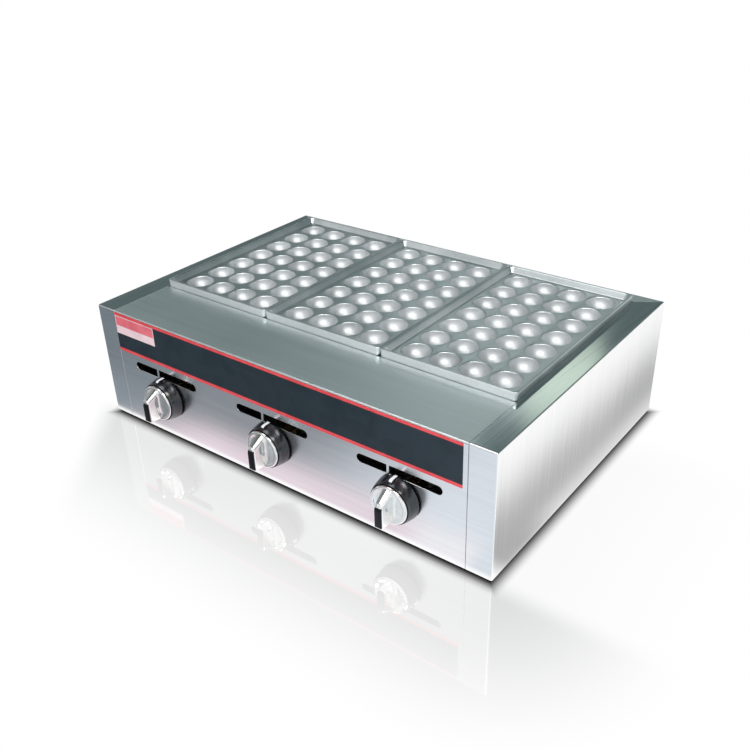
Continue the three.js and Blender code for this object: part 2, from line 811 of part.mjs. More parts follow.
// The barbed hose tail behind the rear panel
function hoseBarb() {
  const hexEnd = backY + barbHex;
  const end = backY + barbReach;
  const pitch = (end - hexEnd) / (barbRings + 1);
  const rings = Array.from({ length: barbRings }, (_, i) => {
    const y = end - i * pitch;
    return [[barbRadius + barbFlare, y - pitch + barbFlare], [barbRadius, y - pitch]];
  });
  const profile = [[barbBore, backY - sheet - barbStem], [pipeRadius, backY - sheet - barbStem],
    [pipeRadius, hexEnd], [barbRadius, hexEnd], ...rings.reverse().map((ring) => ring.reverse()).flat(),
    [barbRadius, end], [barbBore, end]];
  const hex = rodY(barbHexRadius, backY, hexEnd, hexSides);
  const bore = rodY(barbBore, backY - overrun, hexEnd + overrun, smallSides);
  return solid(turned(closed(profile), smallSides)).add(hex.subtract(bore));
}

// An upright bracket with a hole that the manifold runs through
function manifoldBracket() {
  const half = bracketWidth / 2;
  const low = trayTopZ - pipeZ;
  const upright = block(-bracketSheet / 2, bracketSheet / 2, -half, half, low, pipeRadius + bracketMargin);
  const leg = block(-bracketSheet / 2, bracketFoot, -half, half, low, low + bracketSheet);
  return upright.add(leg).subtract(rodX(pipeRadius + runGap, -overrun, overrun));
}

// An angle rail across the body under the burners
function burnerRail() {
  const top = burnerZ - burnerHeight;
  const reach = halfWidth - sheet - seamGap;
  const angle = polygon([
    [0, top - crossRail], [crossSheet, top - crossRail], [crossSheet, top - crossSheet],
    [crossRail, top - crossSheet], [crossRail, top], [0, top]]);
  return solid(alongX(angle, 2 * reach)).translate(-reach, 0, 0);
}

// The black band with its red lines, and the small label, as thin plates on the panel
function frontDecal() {
  const top = topZ - decalTopMargin;
  return block(-openHalf + seamGap, openHalf - decalEndMargin, frontY - decalThick, frontY,
    top - decalHeight, top);
}

function blankLabel() {
  const left = -openHalf + seamGap + labelSideMargin;
  const top = topZ - labelTopMargin;
  const face = frontY - decalThick;
  return block(left, left + labelWidth, face - labelThick, face, top - labelHeight, top);
}

// One copy of a piece at each place, named after the place
function copies(name, material, body, places) {
  return places.map(([place, x, y, z]) => piece(`${name}_${place}`, material, body, x, y, z));
}

// Named places spread across the width
function across(names, pitch, y, z) {
  return spread(names.length, pitch).map((x, i) => [names[i], x, y, z]);
}

// Where the repeated pieces go
const stations = ['left', 'middle', 'right'];
const sides = ['left', 'right'];
const platePlaces = across(stations, platePitch, openMid, 0);
const valvePlaces = across(stations, valvePitch, 0, valveZ);
const plateRailPlaces = across(sides, platePitch, 0, 0);
const bracketPlaces = across(sides, valvePitch, manifoldY, pipeZ);
const rearScrewPlaces = across(sides, rearScrewPitch, backY, rearScrewZ);
const burnerRailPlaces = ['front', 'rear'].map((end, i) => [
  end, 0, burnerFront + burnerRailShares[i] * (burnerBack - burnerFront), 0]);
const footNames = ['front_left', 'front_right', 'rear_left', 'rear_right'];
const namedFeet = footPlaces.map(([x, y], i) => [footNames[i], x, y, 0]);

// The whole object
const assembly = new THREE.Group();
assembly.position.y = (frontReach - barbReach) / 2;
assembly.add(
  piece('left_side_panel', steelMaterial, sidePanel(-1)),
  piece('right_side_panel', steelMaterial, sidePanel(1)),
  piece('front_panel', steelMaterial, frontPanel()),
  piece('front_deck', deckMaterial, frontDeck()),
  piece('rear_panel', steelMaterial, rearPanel()),
  piece('bottom_tray', innerMaterial, bottomTray()),
  piece('front_decal', decalMaterial, frontDecal()),
  piece('blank_label', labelMaterial, blankLabel()),
  piece('ledge_front', innerMaterial, crossLedge((u) => openFront + u)),
  piece('ledge_rear', innerMaterial, crossLedge((u) => openBack - u)),
  piece('ledge_left', innerMaterial, sideLedge((u) => -openHalf + u)),
  piece('ledge_right', innerMaterial, sideLedge((u) => openHalf - u)),
  ...copies('plate', castMaterial, cookingPlate(), platePlaces),
  ...copies('plate_rail', innerMaterial, plateRail(), plateRailPlaces),
  ...copies('burner_head', ironMaterial, burnerHead(), valvePlaces),
  ...copies('mixing_tube', ironMaterial, mixingTube(), valvePlaces),
  ...copies('air_shutter', steelMaterial, airShutter(), valvePlaces),
  ...copies('injector', brassMaterial, injector(), valvePlaces),
  ...copies('valve_body', brassMaterial, valveBody(), valvePlaces),
  ...copies('valve_cone', brassMaterial, valveCone(), valvePlaces),
  ...copies('spindle', steelMaterial, spindle(), valvePlaces),
  ...copies('knob_skirt', blackMaterial, knobSkirt(), valvePlaces),
  ...copies('knob_dial', chromeMaterial, knobDial(), valvePlaces),
  ...copies('knob_inlay', blackMaterial, knobInlay(), valvePlaces),
  piece('gas_manifold', steelMaterial, gasManifold(), 0, manifoldY, pipeZ),
  piece('inlet_pipe', steelMaterial, inletPipe(), 0, manifoldY, pipeZ),
  piece('hose_barb', brassMaterial, hoseBarb(), inletX, 0, pipeZ),
  ...copies('manifold_bracket', innerMaterial, manifoldBracket(), bracketPlaces),
  ...copies('burner_rail', innerMaterial, burnerRail(), burnerRailPlaces),
  ...copies('rear_screw', steelMaterial, rearScrew(), rearScrewPlaces),
  ...copies('foot', rubberMaterial, foot(), namedFeet),
);

export default assembly;
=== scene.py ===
# A table-top gas grill with three lift-out plates of round cups, in a plain pale studio.
# Lengths are in metres in the frame's own coordinates: +Z is up and the knobs are on the -Y side.

import json
import math

import bmesh
import bpy
from mathutils import Matrix, Vector


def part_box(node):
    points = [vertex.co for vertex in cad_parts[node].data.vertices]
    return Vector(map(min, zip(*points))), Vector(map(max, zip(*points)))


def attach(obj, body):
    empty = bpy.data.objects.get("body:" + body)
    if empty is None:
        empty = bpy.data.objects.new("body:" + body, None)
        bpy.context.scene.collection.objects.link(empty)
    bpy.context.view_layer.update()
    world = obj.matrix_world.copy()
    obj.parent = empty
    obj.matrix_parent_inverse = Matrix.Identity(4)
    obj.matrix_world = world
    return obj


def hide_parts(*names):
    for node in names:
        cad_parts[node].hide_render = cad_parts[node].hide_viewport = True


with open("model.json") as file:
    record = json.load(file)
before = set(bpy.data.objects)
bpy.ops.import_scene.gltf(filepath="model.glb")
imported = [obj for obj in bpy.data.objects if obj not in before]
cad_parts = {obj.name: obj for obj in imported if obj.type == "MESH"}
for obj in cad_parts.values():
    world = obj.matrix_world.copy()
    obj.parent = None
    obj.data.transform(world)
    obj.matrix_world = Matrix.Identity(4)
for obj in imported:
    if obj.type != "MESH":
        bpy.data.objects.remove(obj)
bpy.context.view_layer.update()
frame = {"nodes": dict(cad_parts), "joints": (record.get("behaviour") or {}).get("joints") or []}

STATIONS = ("left", "middle", "right")
UP = Vector((0, 0, 1))
BACKWARDS = Vector((0, 1, 0))
SIDEWAYS = Vector((1, 0, 0))

# Sheet metal
SHEET = 0.0015
BEND = 0.002
CUT_EDGE = 0.0002
SHEET_EDGE = 0.0005
SEAM_EDGE = 0.0009
SEAM = 0.0003
REAR_RETURN = 0.020
REAR_STRIP = 0.024
OVERRUN = 0.005
ROUND_PROFILE = 0.5

# Tolerances, and how squarely a face looks along a direction
MERGE = 1e-7
SAME_LEVEL = 1e-6
FLAT_FACE = 0.95
NEARLY_FLAT = 0.9
SLANT = 0.1
INDEX_SLANT = 0.35

# Slots and holes in the panels
SLOT_LENGTH = 0.121
SLOT_HEIGHT = 0.012
SLOT_RISE = 0.0323
SLOT_SHIFT = -0.0005
BRIDGE_WIDTH = 0.0038
BRIDGE_SHIFT = -0.0148
SPINDLE_HOLE = 0.006
VENT_LENGTH = 0.034
VENT_WIDTH = 0.005
VENT_PITCH = 0.022
VENT_COUNT = 5
VENT_DROP = 0.040
INLET_HOLE = 0.0098
SCREW_HOLE = 0.0028

# Plates and cups
PLATE_HEIGHT = 0.024
PLATE_WALL = 0.004
PLATE_CORNER = 0.005
PLATE_EDGE = 0.0009
RIM = 0.003
TRAY_DEPTH = 0.008
TRAY_SLOPE = 0.005
TRAY_CORNER = 0.003
PLATE_FLOOR = 0.004
CUP_COLUMNS = 4
CUP_ROWS = 7
CUP_PITCH = 0.0425
CUP_RADIUS = 0.019
CUP_DEPTH = 0.017
CUP_LIP = 0.0013
CUP_SIDE_WALL = 0.0019
CUP_BASE_WALL = 0.0036
CUP_CENTRE_SHARE = 0.06
CUP_BACK_CENTRE_SHARE = 0.08

# Knobs
SKIRT_WALL = 0.003
SKIRT_TAPER = 0.0022
SKIRT_BEVEL = 0.0013
SKIRT_BEVEL_DEPTH = 0.0038
SKIRT_LIP = 0.0004
SKIRT_GROOVE = 0.0018
SKIRT_WEB = 0.0028
SKIRT_FILLET = 0.0008
HUB_RADIUS = 0.009
HUB_SETBACK = 0.0015
SOCKET_RADIUS = 0.0043
INDEX_WIDTH = 0.0045
INDEX_EDGE = 0.0009
DIAL_EDGE = 0.0014
DIAL_DOME = 0.0022
DIAL_SHOULDER = 0.0016
DISH_FLOOR = 0.0010
DISH_RADIUS = 0.0192
RING_RADIUS = 0.0222
DIAL_FILLET = 0.0018
DIAL_FILLET_STEPS = 6
DIAL_SMOOTHING = math.radians(42)
GRIP_HALF_WIDTH = 0.0053
GRIP_ROOT_HALF_WIDTH = 0.0072
GRIP_FLARE = 0.0030
GRIP_FLARE_HEIGHT = 0.0060
GRIP_RIDGE_SPREAD = 0.0050
GRIP_ROOT_TOP = 0.0246
GRIP_FRONT_TOP = 0.0125
GRIP_ROOT_BOTTOM = 0.0240
GRIP_FRONT_BOTTOM = 0.0202
GRIP_EDGE = 0.0016
GRIP_TOP_SQUARENESS = 2.8
GRIP_TOP_GAIN = 0.8
GRIP_BOTTOM_SQUARENESS = 2.3
GRIP_BOTTOM_GAIN = 5.0
GRIP_LEVEL_POWER = 1.4
INLAY_EDGE = 0.0005
INLAY_SLOPE = 0.0030

# Numbers of sides and steps, and the parts of a side that a fillet leaves room for
FINE_SIDES = 96
ROUND_SIDES = 48
CUP_SIDES = 40
CUP_STEPS = 9
CUP_BACK_STEPS = 6
LIP_STEPS = 4
CORNER_STEPS = 8
BEND_STEPS = 6
ARC_STEPS = 12
FILLET_STEPS = 4
FILLET_ROOM = 2.1
GRIP_LEVELS = 26

# Places that follow from the frame
side_low, side_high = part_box("right_side_panel")
deck_low, deck_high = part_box("front_deck")
panel_low, panel_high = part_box("front_panel")
HALF_WIDTH = side_high.x
FRONT = side_low.y
BACK = side_high.y
BASE = side_low.z
TOP = side_high.z
OPEN_HALF = side_low.x
OPEN_BACK = BACK - REAR_STRIP
taps = {}
for joint in frame["joints"]:
    if joint["name"].startswith("tap_turn_"):
        taps[joint["name"].removeprefix("tap_turn_")] = Vector(joint["pos_m"])


# Building meshes
def link(name, data):
    obj = bpy.data.objects.new(name, data)
    bpy.context.scene.collection.objects.link(obj)
    return obj


def from_bmesh(name, bm):
    """The finished object of a closed bmesh, its faces turned outwards."""
    bmesh.ops.remove_doubles(bm, verts=bm.verts, dist=MERGE)
    bmesh.ops.recalc_face_normals(bm, faces=bm.faces)
    mesh = bpy.data.meshes.new(name)
    bm.to_mesh(mesh)
    bm.free()
    return link(name, mesh)


def smooth(obj, angle=math.radians(35)):
    obj.data.shade_smooth()
    obj.data.set_sharp_from_angle(angle=angle)
    return obj


def apply_modifiers(obj):
    graph = bpy.context.evaluated_depsgraph_get()
    made = bpy.data.meshes.new_from_object(obj.evaluated_get(graph))
    old = obj.data
    obj.modifiers.clear()
    obj.data = made
    bpy.data.meshes.remove(old)
    return obj


def flatten_faces(obj):
    """Lets the large faces set the normals of the narrow ones beside them."""
    modifier = obj.modifiers.new("flatten", "WEIGHTED_NORMAL")
    modifier.mode = "FACE_AREA"
    modifier.weight = 100
    modifier.keep_sharp = True
    return apply_modifiers(obj)


def combine(obj, tool, operation):
    """Cuts, joins or intersects the object with a closed tool, which is used up."""
    modifier = obj.modifiers.new("combine", "BOOLEAN")
    modifier.operation = operation
    modifier.solver = "EXACT"
    modifier.object = tool
    apply_modifiers(obj)
    bpy.data.objects.remove(tool)
    return obj


def soften(obj, width, steps=2, angle=math.radians(50)):
    """Breaks the sharp edges with a narrow bevel."""
    modifier = obj.modifiers.new("soften", "BEVEL")
    modifier.width = width
    modifier.segments = steps
    modifier.limit_method = "ANGLE"
    modifier.angle_limit = angle
    modifier.use_clamp_overlap = False
    return smooth(apply_modifiers(obj))


def add_box(bm, low, high):
    size = Vector(high) - Vector(low)
    place = Matrix.Translation((Vector(low) + Vector(high)) / 2) @ Matrix.Diagonal((*size, 1))
    bmesh.ops.create_cube(bm, size=1, matrix=place)


def box_tool(*boxes):
    bm = bmesh.new()
    for low, high in boxes:
        add_box(bm, low, high)
    return from_bmesh("tool", bm)


def join_rings(bm, first, second):
    """Faces between two rings of vertices, either of which may be a single point."""
    count = max(len(first), len(second))
    for i in range(count):
        j = (i + 1) % count
        corners = [first[i % len(first)], first[j % len(first)],
                   second[j % len(second)], second[i % len(second)]]
        corners = list(dict.fromkeys(corners))
        if len(corners) > 2:
            bm.faces.new(corners)


def join_row(bm, rings):
    for first, second in zip(rings, rings[1:]):
        join_rings(bm, first, second)


def add_prism(bm, outline, direction, depth, place=lambda u, v: (u, v, 0)):
    """Adds an outline in two lengths, placed by a function, drawn out along a direction."""
    near = [bm.verts.new(place(u, v)) for u, v in outline]
    far = [bm.verts.new(vert.co + direction * depth) for vert in near]
    bm.faces.new(near)
    bm.faces.new(far)
    join_rings(bm, near, far)


def even_angles(count):
    return [2 * math.pi * i / count for i in range(count)]


def add_turned(bm, profile, origin, axis, sides=ROUND_SIDES, ring=False):
    """Adds a profile of (radius, distance) points turned about an axis.
    It starts and ends on the axis, or closes on itself as a ring."""
    axis = Vector(axis)
    across = SIDEWAYS if abs(axis.x) < 0.5 else UP
    other = axis.cross(across)
    rings = []
    for radius, along in profile:
        centre = origin + axis * along
        angles = even_angles(sides if radius > 0 else 1)
        rings.append([bm.verts.new(centre + (across * math.cos(a) + other * math.sin(a)) * radius)
                      for a in angles])
    join_row(bm, rings)
    if ring:
        join_rings(bm, rings[-1], rings[0])


def turned(name, profile, origin, axis, sides=ROUND_SIDES, ring=False):
    bm = bmesh.new()
    add_turned(bm, profile, origin, axis, sides, ring)
    return smooth(from_bmesh(name, bm))


def rounded(points, radius, steps=FILLET_STEPS, ring=False):
    """The same outline with its corners rounded, apart from the two ends of an open one."""
    spots = [Vector(p) for p in points]
    if ring:
        spots = [spots[-1], *spots, spots[0]]
    out = [] if ring else [spots[0]]
    for before, corner, after in zip(spots, spots[1:], spots[2:]):
        back, ahead = before - corner, after - corner
        reach = min(radius, back.length / FILLET_ROOM, ahead.length / FILLET_ROOM)
        start = corner + back.normalized() * reach
        end = corner + ahead.normalized() * reach
        for k in range(steps + 1):
            t = k / steps
            out.append(start * (1 - t) ** 2 + corner * 2 * t * (1 - t) + end * t ** 2)
    return out if ring else [*out, spots[-1]]


def arc(centre, radius, start, end, steps=ARC_STEPS):
    """Points on a round stretch of an outline, with angles in quarter turns."""
    angles = [math.pi / 2 * (start + (end - start) * k / steps) for k in range(steps + 1)]
    return [(centre[0] + radius * math.cos(a), centre[1] + radius * math.sin(a)) for a in angles]


def paint_by_normal(obj, choices):
    """Gives the flat faces that look along a direction a material of their own."""
    for face in obj.data.polygons:
        for direction, index in choices:
            if face.normal.dot(direction) > FLAT_FACE:
                face.material_index = index


def finish_piece(obj, body, slot, *stands_for, materials=()):
    """Gives a piece its finish and its body, and hides the nodes that it stands for."""
    for material in materials:
        obj.data.materials.append(material)
    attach(obj, body)
    if stands_for:
        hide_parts(*stands_for)
    return obj


# Materials
class Nodes:
    """A node tree under construction."""

    def __init__(self, tree):
        self.tree = tree

    def node(self, kind, **settings):
        made = self.tree.nodes.new(kind)
        for key, value in settings.items():
            setattr(made, key, value)
        return made

    def wire(self, source, target):
        self.tree.links.new(source, target)

    def feed(self, socket, value):
        """Links a socket to another one, or sets it to a number or colour."""
        if isinstance(value, bpy.types.NodeSocket):
            self.wire(value, socket)
        elif isinstance(value, tuple) and len(value) == 3 and socket.type == "RGBA":
            socket.default_value = (*value, 1)
        else:
            socket.default_value = value

    def fill(self, made, **values):
        """Feeds the sockets of a node by name, with _ for a space."""
        for name, value in values.items():
            self.feed(made.inputs[name.replace("_", " ")], value)
        return made

    def fill_first(self, made, *values):
        """Feeds the first sockets of a node in their order, and returns its first output."""
        for socket, value in zip(made.inputs, values):
            self.feed(socket, value)
        return made.outputs[0]

    def math(self, operation, *values):
        return self.fill_first(self.node("ShaderNodeMath", operation=operation), *values)

    def times(self, first, *others):
        """The product of any number of values."""
        for other in others:
            first = self.math("MULTIPLY", first, other)
        return first

    def rest(self, share):
        """What is left of one after a share."""
        return self.math("SUBTRACT", 1.0, share)

    def step(self, value, low, high, out_low=0.0, out_high=1.0):
        """Turns the range low to high of a value smoothly into another one."""
        span = self.node("ShaderNodeMapRange", interpolation_type="SMOOTHSTEP")
        self.fill(span, Value=value, From_Min=low, From_Max=high, To_Min=out_low, To_Max=out_high)
        return span.outputs["Result"]

    def tint(self, share, first, second):
        """A colour between two others."""
        mix = self.node("ShaderNodeMix", data_type="RGBA")
        factor, _, _, _, _, _, start, end, *_ = mix.inputs
        for socket, value in ((factor, share), (start, first), (end, second)):
            self.feed(socket, value)
        return mix.outputs[2]

    def cover(self, share, first, second):
        """One shader laid over another."""
        return self.fill_first(self.node("ShaderNodeMixShader"), share, first, second)


class Finish(Nodes):
    """A procedural finish under construction, on the object's own coordinates."""

    def __init__(self, name, metallic=0.0, **sockets):
        self.material = bpy.data.materials.new(name)
        self.material.use_nodes = True
        super().__init__(self.material.node_tree)
        self.surface = self.tree.nodes["Principled BSDF"]
        self.fill(self.surface, Metallic=metallic, **sockets)
        self.place = self.node("ShaderNodeTexCoord").outputs["Object"]

    def noise(self, scales, detail, distortion=0.0):
        """Noise with its own number of grains per metre along each axis."""
        mapping = self.fill(self.node("ShaderNodeMapping"), Scale=scales, Vector=self.place)
        noise = self.fill(self.node("ShaderNodeTexNoise"), Vector=mapping.outputs["Vector"], Scale=1.0,
                          Detail=detail, Roughness=0.55, Distortion=distortion)
        return noise.outputs["Fac"]

    def blend(self, first, second, share):
        """A weighted mean of two values."""
        mix = self.node("ShaderNodeMix", data_type="FLOAT")
        return self.fill(mix, Factor=share, A=first, B=second).outputs["Result"]

    def color(self, value, dark, light):
        """Colours the surface between two tones."""
        self.fill(self.surface, Base_Color=self.tint(value, dark, light))

    def rough(self, value, smoothest, roughest):
        self.fill(self.surface, Roughness=self.step(value, *ROUGH_RANGE, smoothest, roughest))

    def bump(self, value, strength, depth):
        relief = self.fill(self.node("ShaderNodeBump"), Strength=strength, Distance=depth, Height=value)
        self.fill(self.surface, Normal=relief.outputs["Normal"])


# The axis that a sheet's grain runs along
ALONG_X = 0
ALONG_Y = 1
ALONG_Z = 2

# Grains per metre, along and across the brushing, and depths of relief
FINE_GRAINS = (7, 1500)
STREAK_GRAINS = (2.5, 160)
SHEET_CLOUDS = (5, 5, 5)
CAST_CLOUDS = (14, 14, 14)
MARKS = (60, 60, 60)
HAIRS = (900, 40, 900)
SMEARS = (38, 38, 38)
BRUSH_DEPTH = 0.00008
CAST_DEPTH = 0.00012
SKIN_DEPTH = 0.0001

# Ranges of a noise that its tones and its roughness spread over
SHEET_RANGE = (0.36, 0.64)
CAST_RANGE = (0.38, 0.62)
MARK_RANGE = (0.35, 0.65)
ROUGH_RANGE = (0.25, 0.75)


def brushed(name, grain, dark, light, smoothest, roughest, scratch=0.06):
    """Brushed sheet, with its grain along one axis."""
    finish = Finish(name, metallic=1.0)
    fine = finish.noise([FINE_GRAINS[i != grain] for i in range(3)], detail=2)
    streaks = finish.noise([STREAK_GRAINS[i != grain] for i in range(3)], detail=3)
    clouds = finish.noise(SHEET_CLOUDS, detail=3)
    tone = finish.blend(finish.blend(fine, streaks, 0.55), clouds, 0.35)
    finish.color(finish.step(tone, *SHEET_RANGE), dark, light)
    finish.rough(finish.blend(streaks, clouds, 0.5), smoothest, roughest)
    finish.bump(fine, scratch, BRUSH_DEPTH)
    return finish.material


def cast(name, dark, light, smoothest, roughest, grain=900, strength=0.12):
    """Cast or moulded metal, with a fine grainy skin."""
    finish = Finish(name, metallic=1.0)
    skin = finish.noise((grain, grain, grain), detail=4)
    clouds = finish.noise(CAST_CLOUDS, detail=4)
    finish.color(finish.step(finish.blend(skin, clouds, 0.6), *CAST_RANGE), dark, light)
    finish.rough(clouds, smoothest, roughest)
    finish.bump(skin, strength, CAST_DEPTH)
    return finish.material


def plated(name, dark, light, smoothest, roughest):
    """Bright plating, with faint handling marks."""
    finish = Finish(name, metallic=1.0)
    marks = finish.noise(MARKS, detail=4, distortion=0.6)
    hairs = finish.noise(HAIRS, detail=2)
    finish.color(finish.step(marks, *MARK_RANGE), dark, light)
    finish.rough(finish.blend(marks, hairs, 0.3), smoothest, roughest)
    finish.bump(marks, 0.02, SKIN_DEPTH)
    return finish.material


def plastic(name, dark, light, smoothest, roughest, gloss=0.5, grain=700, strength=0.05):
    """Moulded plastic, film or rubber."""
    finish = Finish(name, Specular_IOR_Level=gloss)
    skin = finish.noise((grain, grain, grain), detail=3)
    smears = finish.noise(SMEARS, detail=4, distortion=0.8)
    finish.color(finish.step(smears, *MARK_RANGE), dark, light)
    finish.rough(smears, smoothest, roughest)
    finish.bump(skin, strength, SKIN_DEPTH)
    return finish.material


panel_steel = brushed("panel_steel", ALONG_X, (0.74, 0.74, 0.75), (0.82, 0.82, 0.83), 0.20, 0.28, 0.03)
side_steel = brushed("side_steel", ALONG_Z, (0.80, 0.81, 0.81), (0.88, 0.88, 0.875), 0.20, 0.28, 0.015)
# The top strips of the side sheets: the side steel painted darker and greener, a painted reflection of
# the dim sky
strip_dark_reflection_steel = brushed("strip_dark_reflection_steel", ALONG_Y, (0.47, 0.52, 0.52), (0.55, 0.60, 0.60), 0.09, 0.14, 0.015)
# The deck and the rear strip: steel with a painted greenish reflection of the sky in its colour
deck_steel = brushed("deck_steel", ALONG_X, (0.74, 0.80, 0.80), (0.81, 0.87, 0.87), 0.33, 0.41, 0.015)
# A paler copy of the steel for the rounded seam edge: a painted highlight line
seam_highlight_steel = brushed("seam_highlight_steel", ALONG_Z, (0.86, 0.87, 0.88), (0.94, 0.95, 0.95), 0.45, 0.55)
rear_steel = brushed("rear_steel", ALONG_X, (0.68, 0.69, 0.69), (0.78, 0.78, 0.78), 0.22, 0.32, 0.04)
inner_steel = brushed("inner_steel", ALONG_X, (0.34, 0.34, 0.34), (0.50, 0.50, 0.50), 0.35, 0.55)
pipe_steel = brushed("pipe_steel", ALONG_X, (0.55, 0.55, 0.54), (0.72, 0.72, 0.70), 0.20, 0.34)
shutter_steel = brushed("shutter_steel", ALONG_Z, (0.72, 0.73, 0.71), (0.86, 0.87, 0.85), 0.22, 0.34)
cast_plate = cast("cast_plate", (0.60, 0.65, 0.66), (0.74, 0.78, 0.79), 0.30, 0.38)
# A darker copy of the plate casting inside the cups: painted shade in the hollows
cup_shaded_cast = cast("cup_shaded_cast", (0.56, 0.58, 0.59), (0.68, 0.70, 0.71), 0.48, 0.56, strength=0.06)
# A lighter copy of the plate casting for the trays' front walls: painted light on that face
plate_front_lit = cast("plate_front_lit", (0.69, 0.72, 0.73), (0.78, 0.81, 0.82), 0.48, 0.56)
tube_metal = cast("tube_metal", (0.46, 0.46, 0.44), (0.62, 0.62, 0.60), 0.34, 0.50,
                  grain=500, strength=0.3)
iron = cast("iron", (0.025, 0.024, 0.023), (0.075, 0.070, 0.065), 0.55, 0.80, grain=500, strength=0.4)
brass = plated("brass", (0.50, 0.34, 0.12), (0.72, 0.53, 0.22), 0.18, 0.36)
chrome = plated("chrome", (0.80, 0.79, 0.77), (0.90, 0.89, 0.87), 0.09, 0.14)
knob_black = plastic("knob_black", (0.006, 0.008, 0.011), (0.014, 0.018, 0.023), 0.17, 0.24, gloss=0.8)
inlay_black = plastic("inlay_black", (0.003, 0.003, 0.004), (0.007, 0.007, 0.009), 0.18, 0.30, gloss=0.2)
# White for the index's top: a painted highlight
index_highlight_white = plastic("index_highlight_white", (0.78, 0.80, 0.84), (0.86, 0.88, 0.92), 0.25, 0.40)
band_black = plastic("band_black", (0.013, 0.024, 0.034), (0.018, 0.031, 0.043), 0.30, 0.42, gloss=0.25)
band_red = plastic("band_red", (0.74, 0.050, 0.060), (0.84, 0.070, 0.085), 0.30, 0.42)
label_red = plastic("label_red", (0.74, 0.13, 0.17), (0.84, 0.19, 0.23), 0.28, 0.40)
label_pale = plastic("label_pale", (0.84, 0.62, 0.66), (0.92, 0.72, 0.75), 0.28, 0.40)
rubber = plastic("rubber", (0.010, 0.010, 0.010), (0.022, 0.022, 0.022), 0.65, 0.85,
                 grain=1200, strength=0.3)


# Body panels, with the places of their finishes in a sheet's list
STRIP_REFLECTION_FINISH = 1
FLANGE_FINISH = 2
SEAM_HIGHLIGHT_FINISH = 3


def skin_box():
    """The bent outer skin as one hollow box that reaches below the body."""
    low = Vector((-HALF_WIDTH, FRONT, BASE - OVERRUN))
    high = Vector((HALF_WIDTH, BACK, TOP))
    bm = bmesh.new()
    add_box(bm, low, high)
    bent = [e for e in bm.edges if max(v.co.z for v in e.verts) > BASE]
    bmesh.ops.bevel(bm, geom=bent, offset=BEND, segments=BEND_STEPS, profile=ROUND_PROFILE,
                    affect="EDGES")
    outer = from_bmesh("skin", bm)
    inset = Vector((SHEET, SHEET, SHEET))
    inner_low = low + inset - UP * (2 * OVERRUN)
    return combine(outer, box_tool((inner_low, high - inset)), "DIFFERENCE")


def strip_tool(grow, bottom):
    """The rear strip's plan with its mitred ends, drawn upwards."""
    slope = REAR_STRIP / (HALF_WIDTH - OPEN_HALF)
    out = HALF_WIDTH + OVERRUN
    out_y = BACK + OVERRUN * slope - grow
    outline = [(-OPEN_HALF, OPEN_BACK - grow), (OPEN_HALF, OPEN_BACK - grow), (out, out_y),
               (out, BACK + REAR_STRIP), (-out, BACK + REAR_STRIP), (-out, out_y)]
    bm = bmesh.new()
    add_prism(bm, outline, UP, TOP + OVERRUN - bottom, lambda u, v: (u, v, bottom))
    return from_bmesh("tool", bm)


def cut_panel(name, low, high):
    """The part of the skin between two corners."""
    panel = skin_box()
    panel.name = name
    return combine(panel, box_tool((low, high)), "INTERSECT")


def round_seam(panel, x):
    """Rounds the upright outer edge of a front flange beside the control panel."""
    bm = bmesh.new()
    bm.from_mesh(panel.data)
    edges = [e for e in bm.edges if all(abs(v.co.x - x) < CUT_EDGE and abs(v.co.y - FRONT) < CUT_EDGE
                                        for v in e.verts)]
    bmesh.ops.bevel(bm, geom=edges, offset=SEAM_EDGE, segments=3, profile=ROUND_PROFILE, affect="EDGES")
    bm.to_mesh(panel.data)
    bm.free()


def side_panel(side, name):
    """A side wall with its front flange, top strip and rear return, on the side -1 or 1."""
    edge, outside = side * OPEN_HALF, side * (HALF_WIDTH + OVERRUN)
    panel = cut_panel(name, (min(edge, outside), FRONT - OVERRUN, BASE),
                      (max(edge, outside), BACK + OVERRUN, TOP + OVERRUN))
    corner, inner = side * (HALF_WIDTH - REAR_RETURN), side * (OPEN_HALF - OVERRUN)
    rear_cut = box_tool(((min(corner, inner), BACK - SHEET, BASE - OVERRUN),
                         (max(corner, inner), BACK + OVERRUN, TOP + OVERRUN)))
    combine(panel, rear_cut, "DIFFERENCE")
    combine(panel, strip_tool(SEAM, TOP - SHEET - SEAM), "DIFFERENCE")
    round_seam(panel, edge)
    flatten_faces(soften(panel, SHEET_EDGE))
    # Upward faces take the darker, greener strip steel as a painted reflection; front faces take the
    # panel steel
    paint_by_normal(panel, ((UP, STRIP_REFLECTION_FINISH), (-BACKWARDS, FLANGE_FINISH)))
    # Slanted faces of the rounded seam edge take the pale seam steel, a painted highlight along the seam
    for face in panel.data.polygons:
        slanted = SLANT < -face.normal.y < FLAT_FACE and side * face.normal.x < -SLANT
        if slanted and abs(face.center.x - edge) < SEAM_EDGE:
            face.material_index = SEAM_HIGHLIGHT_FINISH
    return panel


def slot_outlines(x, z):
    """The two halves of a sight slot, either side of its bridge."""
    radius = SLOT_HEIGHT / 2
    middle = x + SLOT_SHIFT
    left, right = middle - SLOT_LENGTH / 2 + radius, middle + SLOT_LENGTH / 2 - radius
    bridge = middle + BRIDGE_SHIFT
    left_half = [*arc((left, z), radius, 1, 3), (bridge - BRIDGE_WIDTH / 2, z - radius),
                 (bridge - BRIDGE_WIDTH / 2, z + radius)]
    right_half = [*arc((right, z), radius, -1, 1), (bridge + BRIDGE_WIDTH / 2, z + radius),
                  (bridge + BRIDGE_WIDTH / 2, z - radius)]
    return left_half, right_half


def add_hole(bm, radius, x, start, z):
    """A drill of two overruns in length, along the depth of the body."""
    drill = [(0, 0), (radius, 0), (radius, 2 * OVERRUN), (0, 2 * OVERRUN)]
    add_turned(bm, drill, Vector((x, start, z)), BACKWARDS)


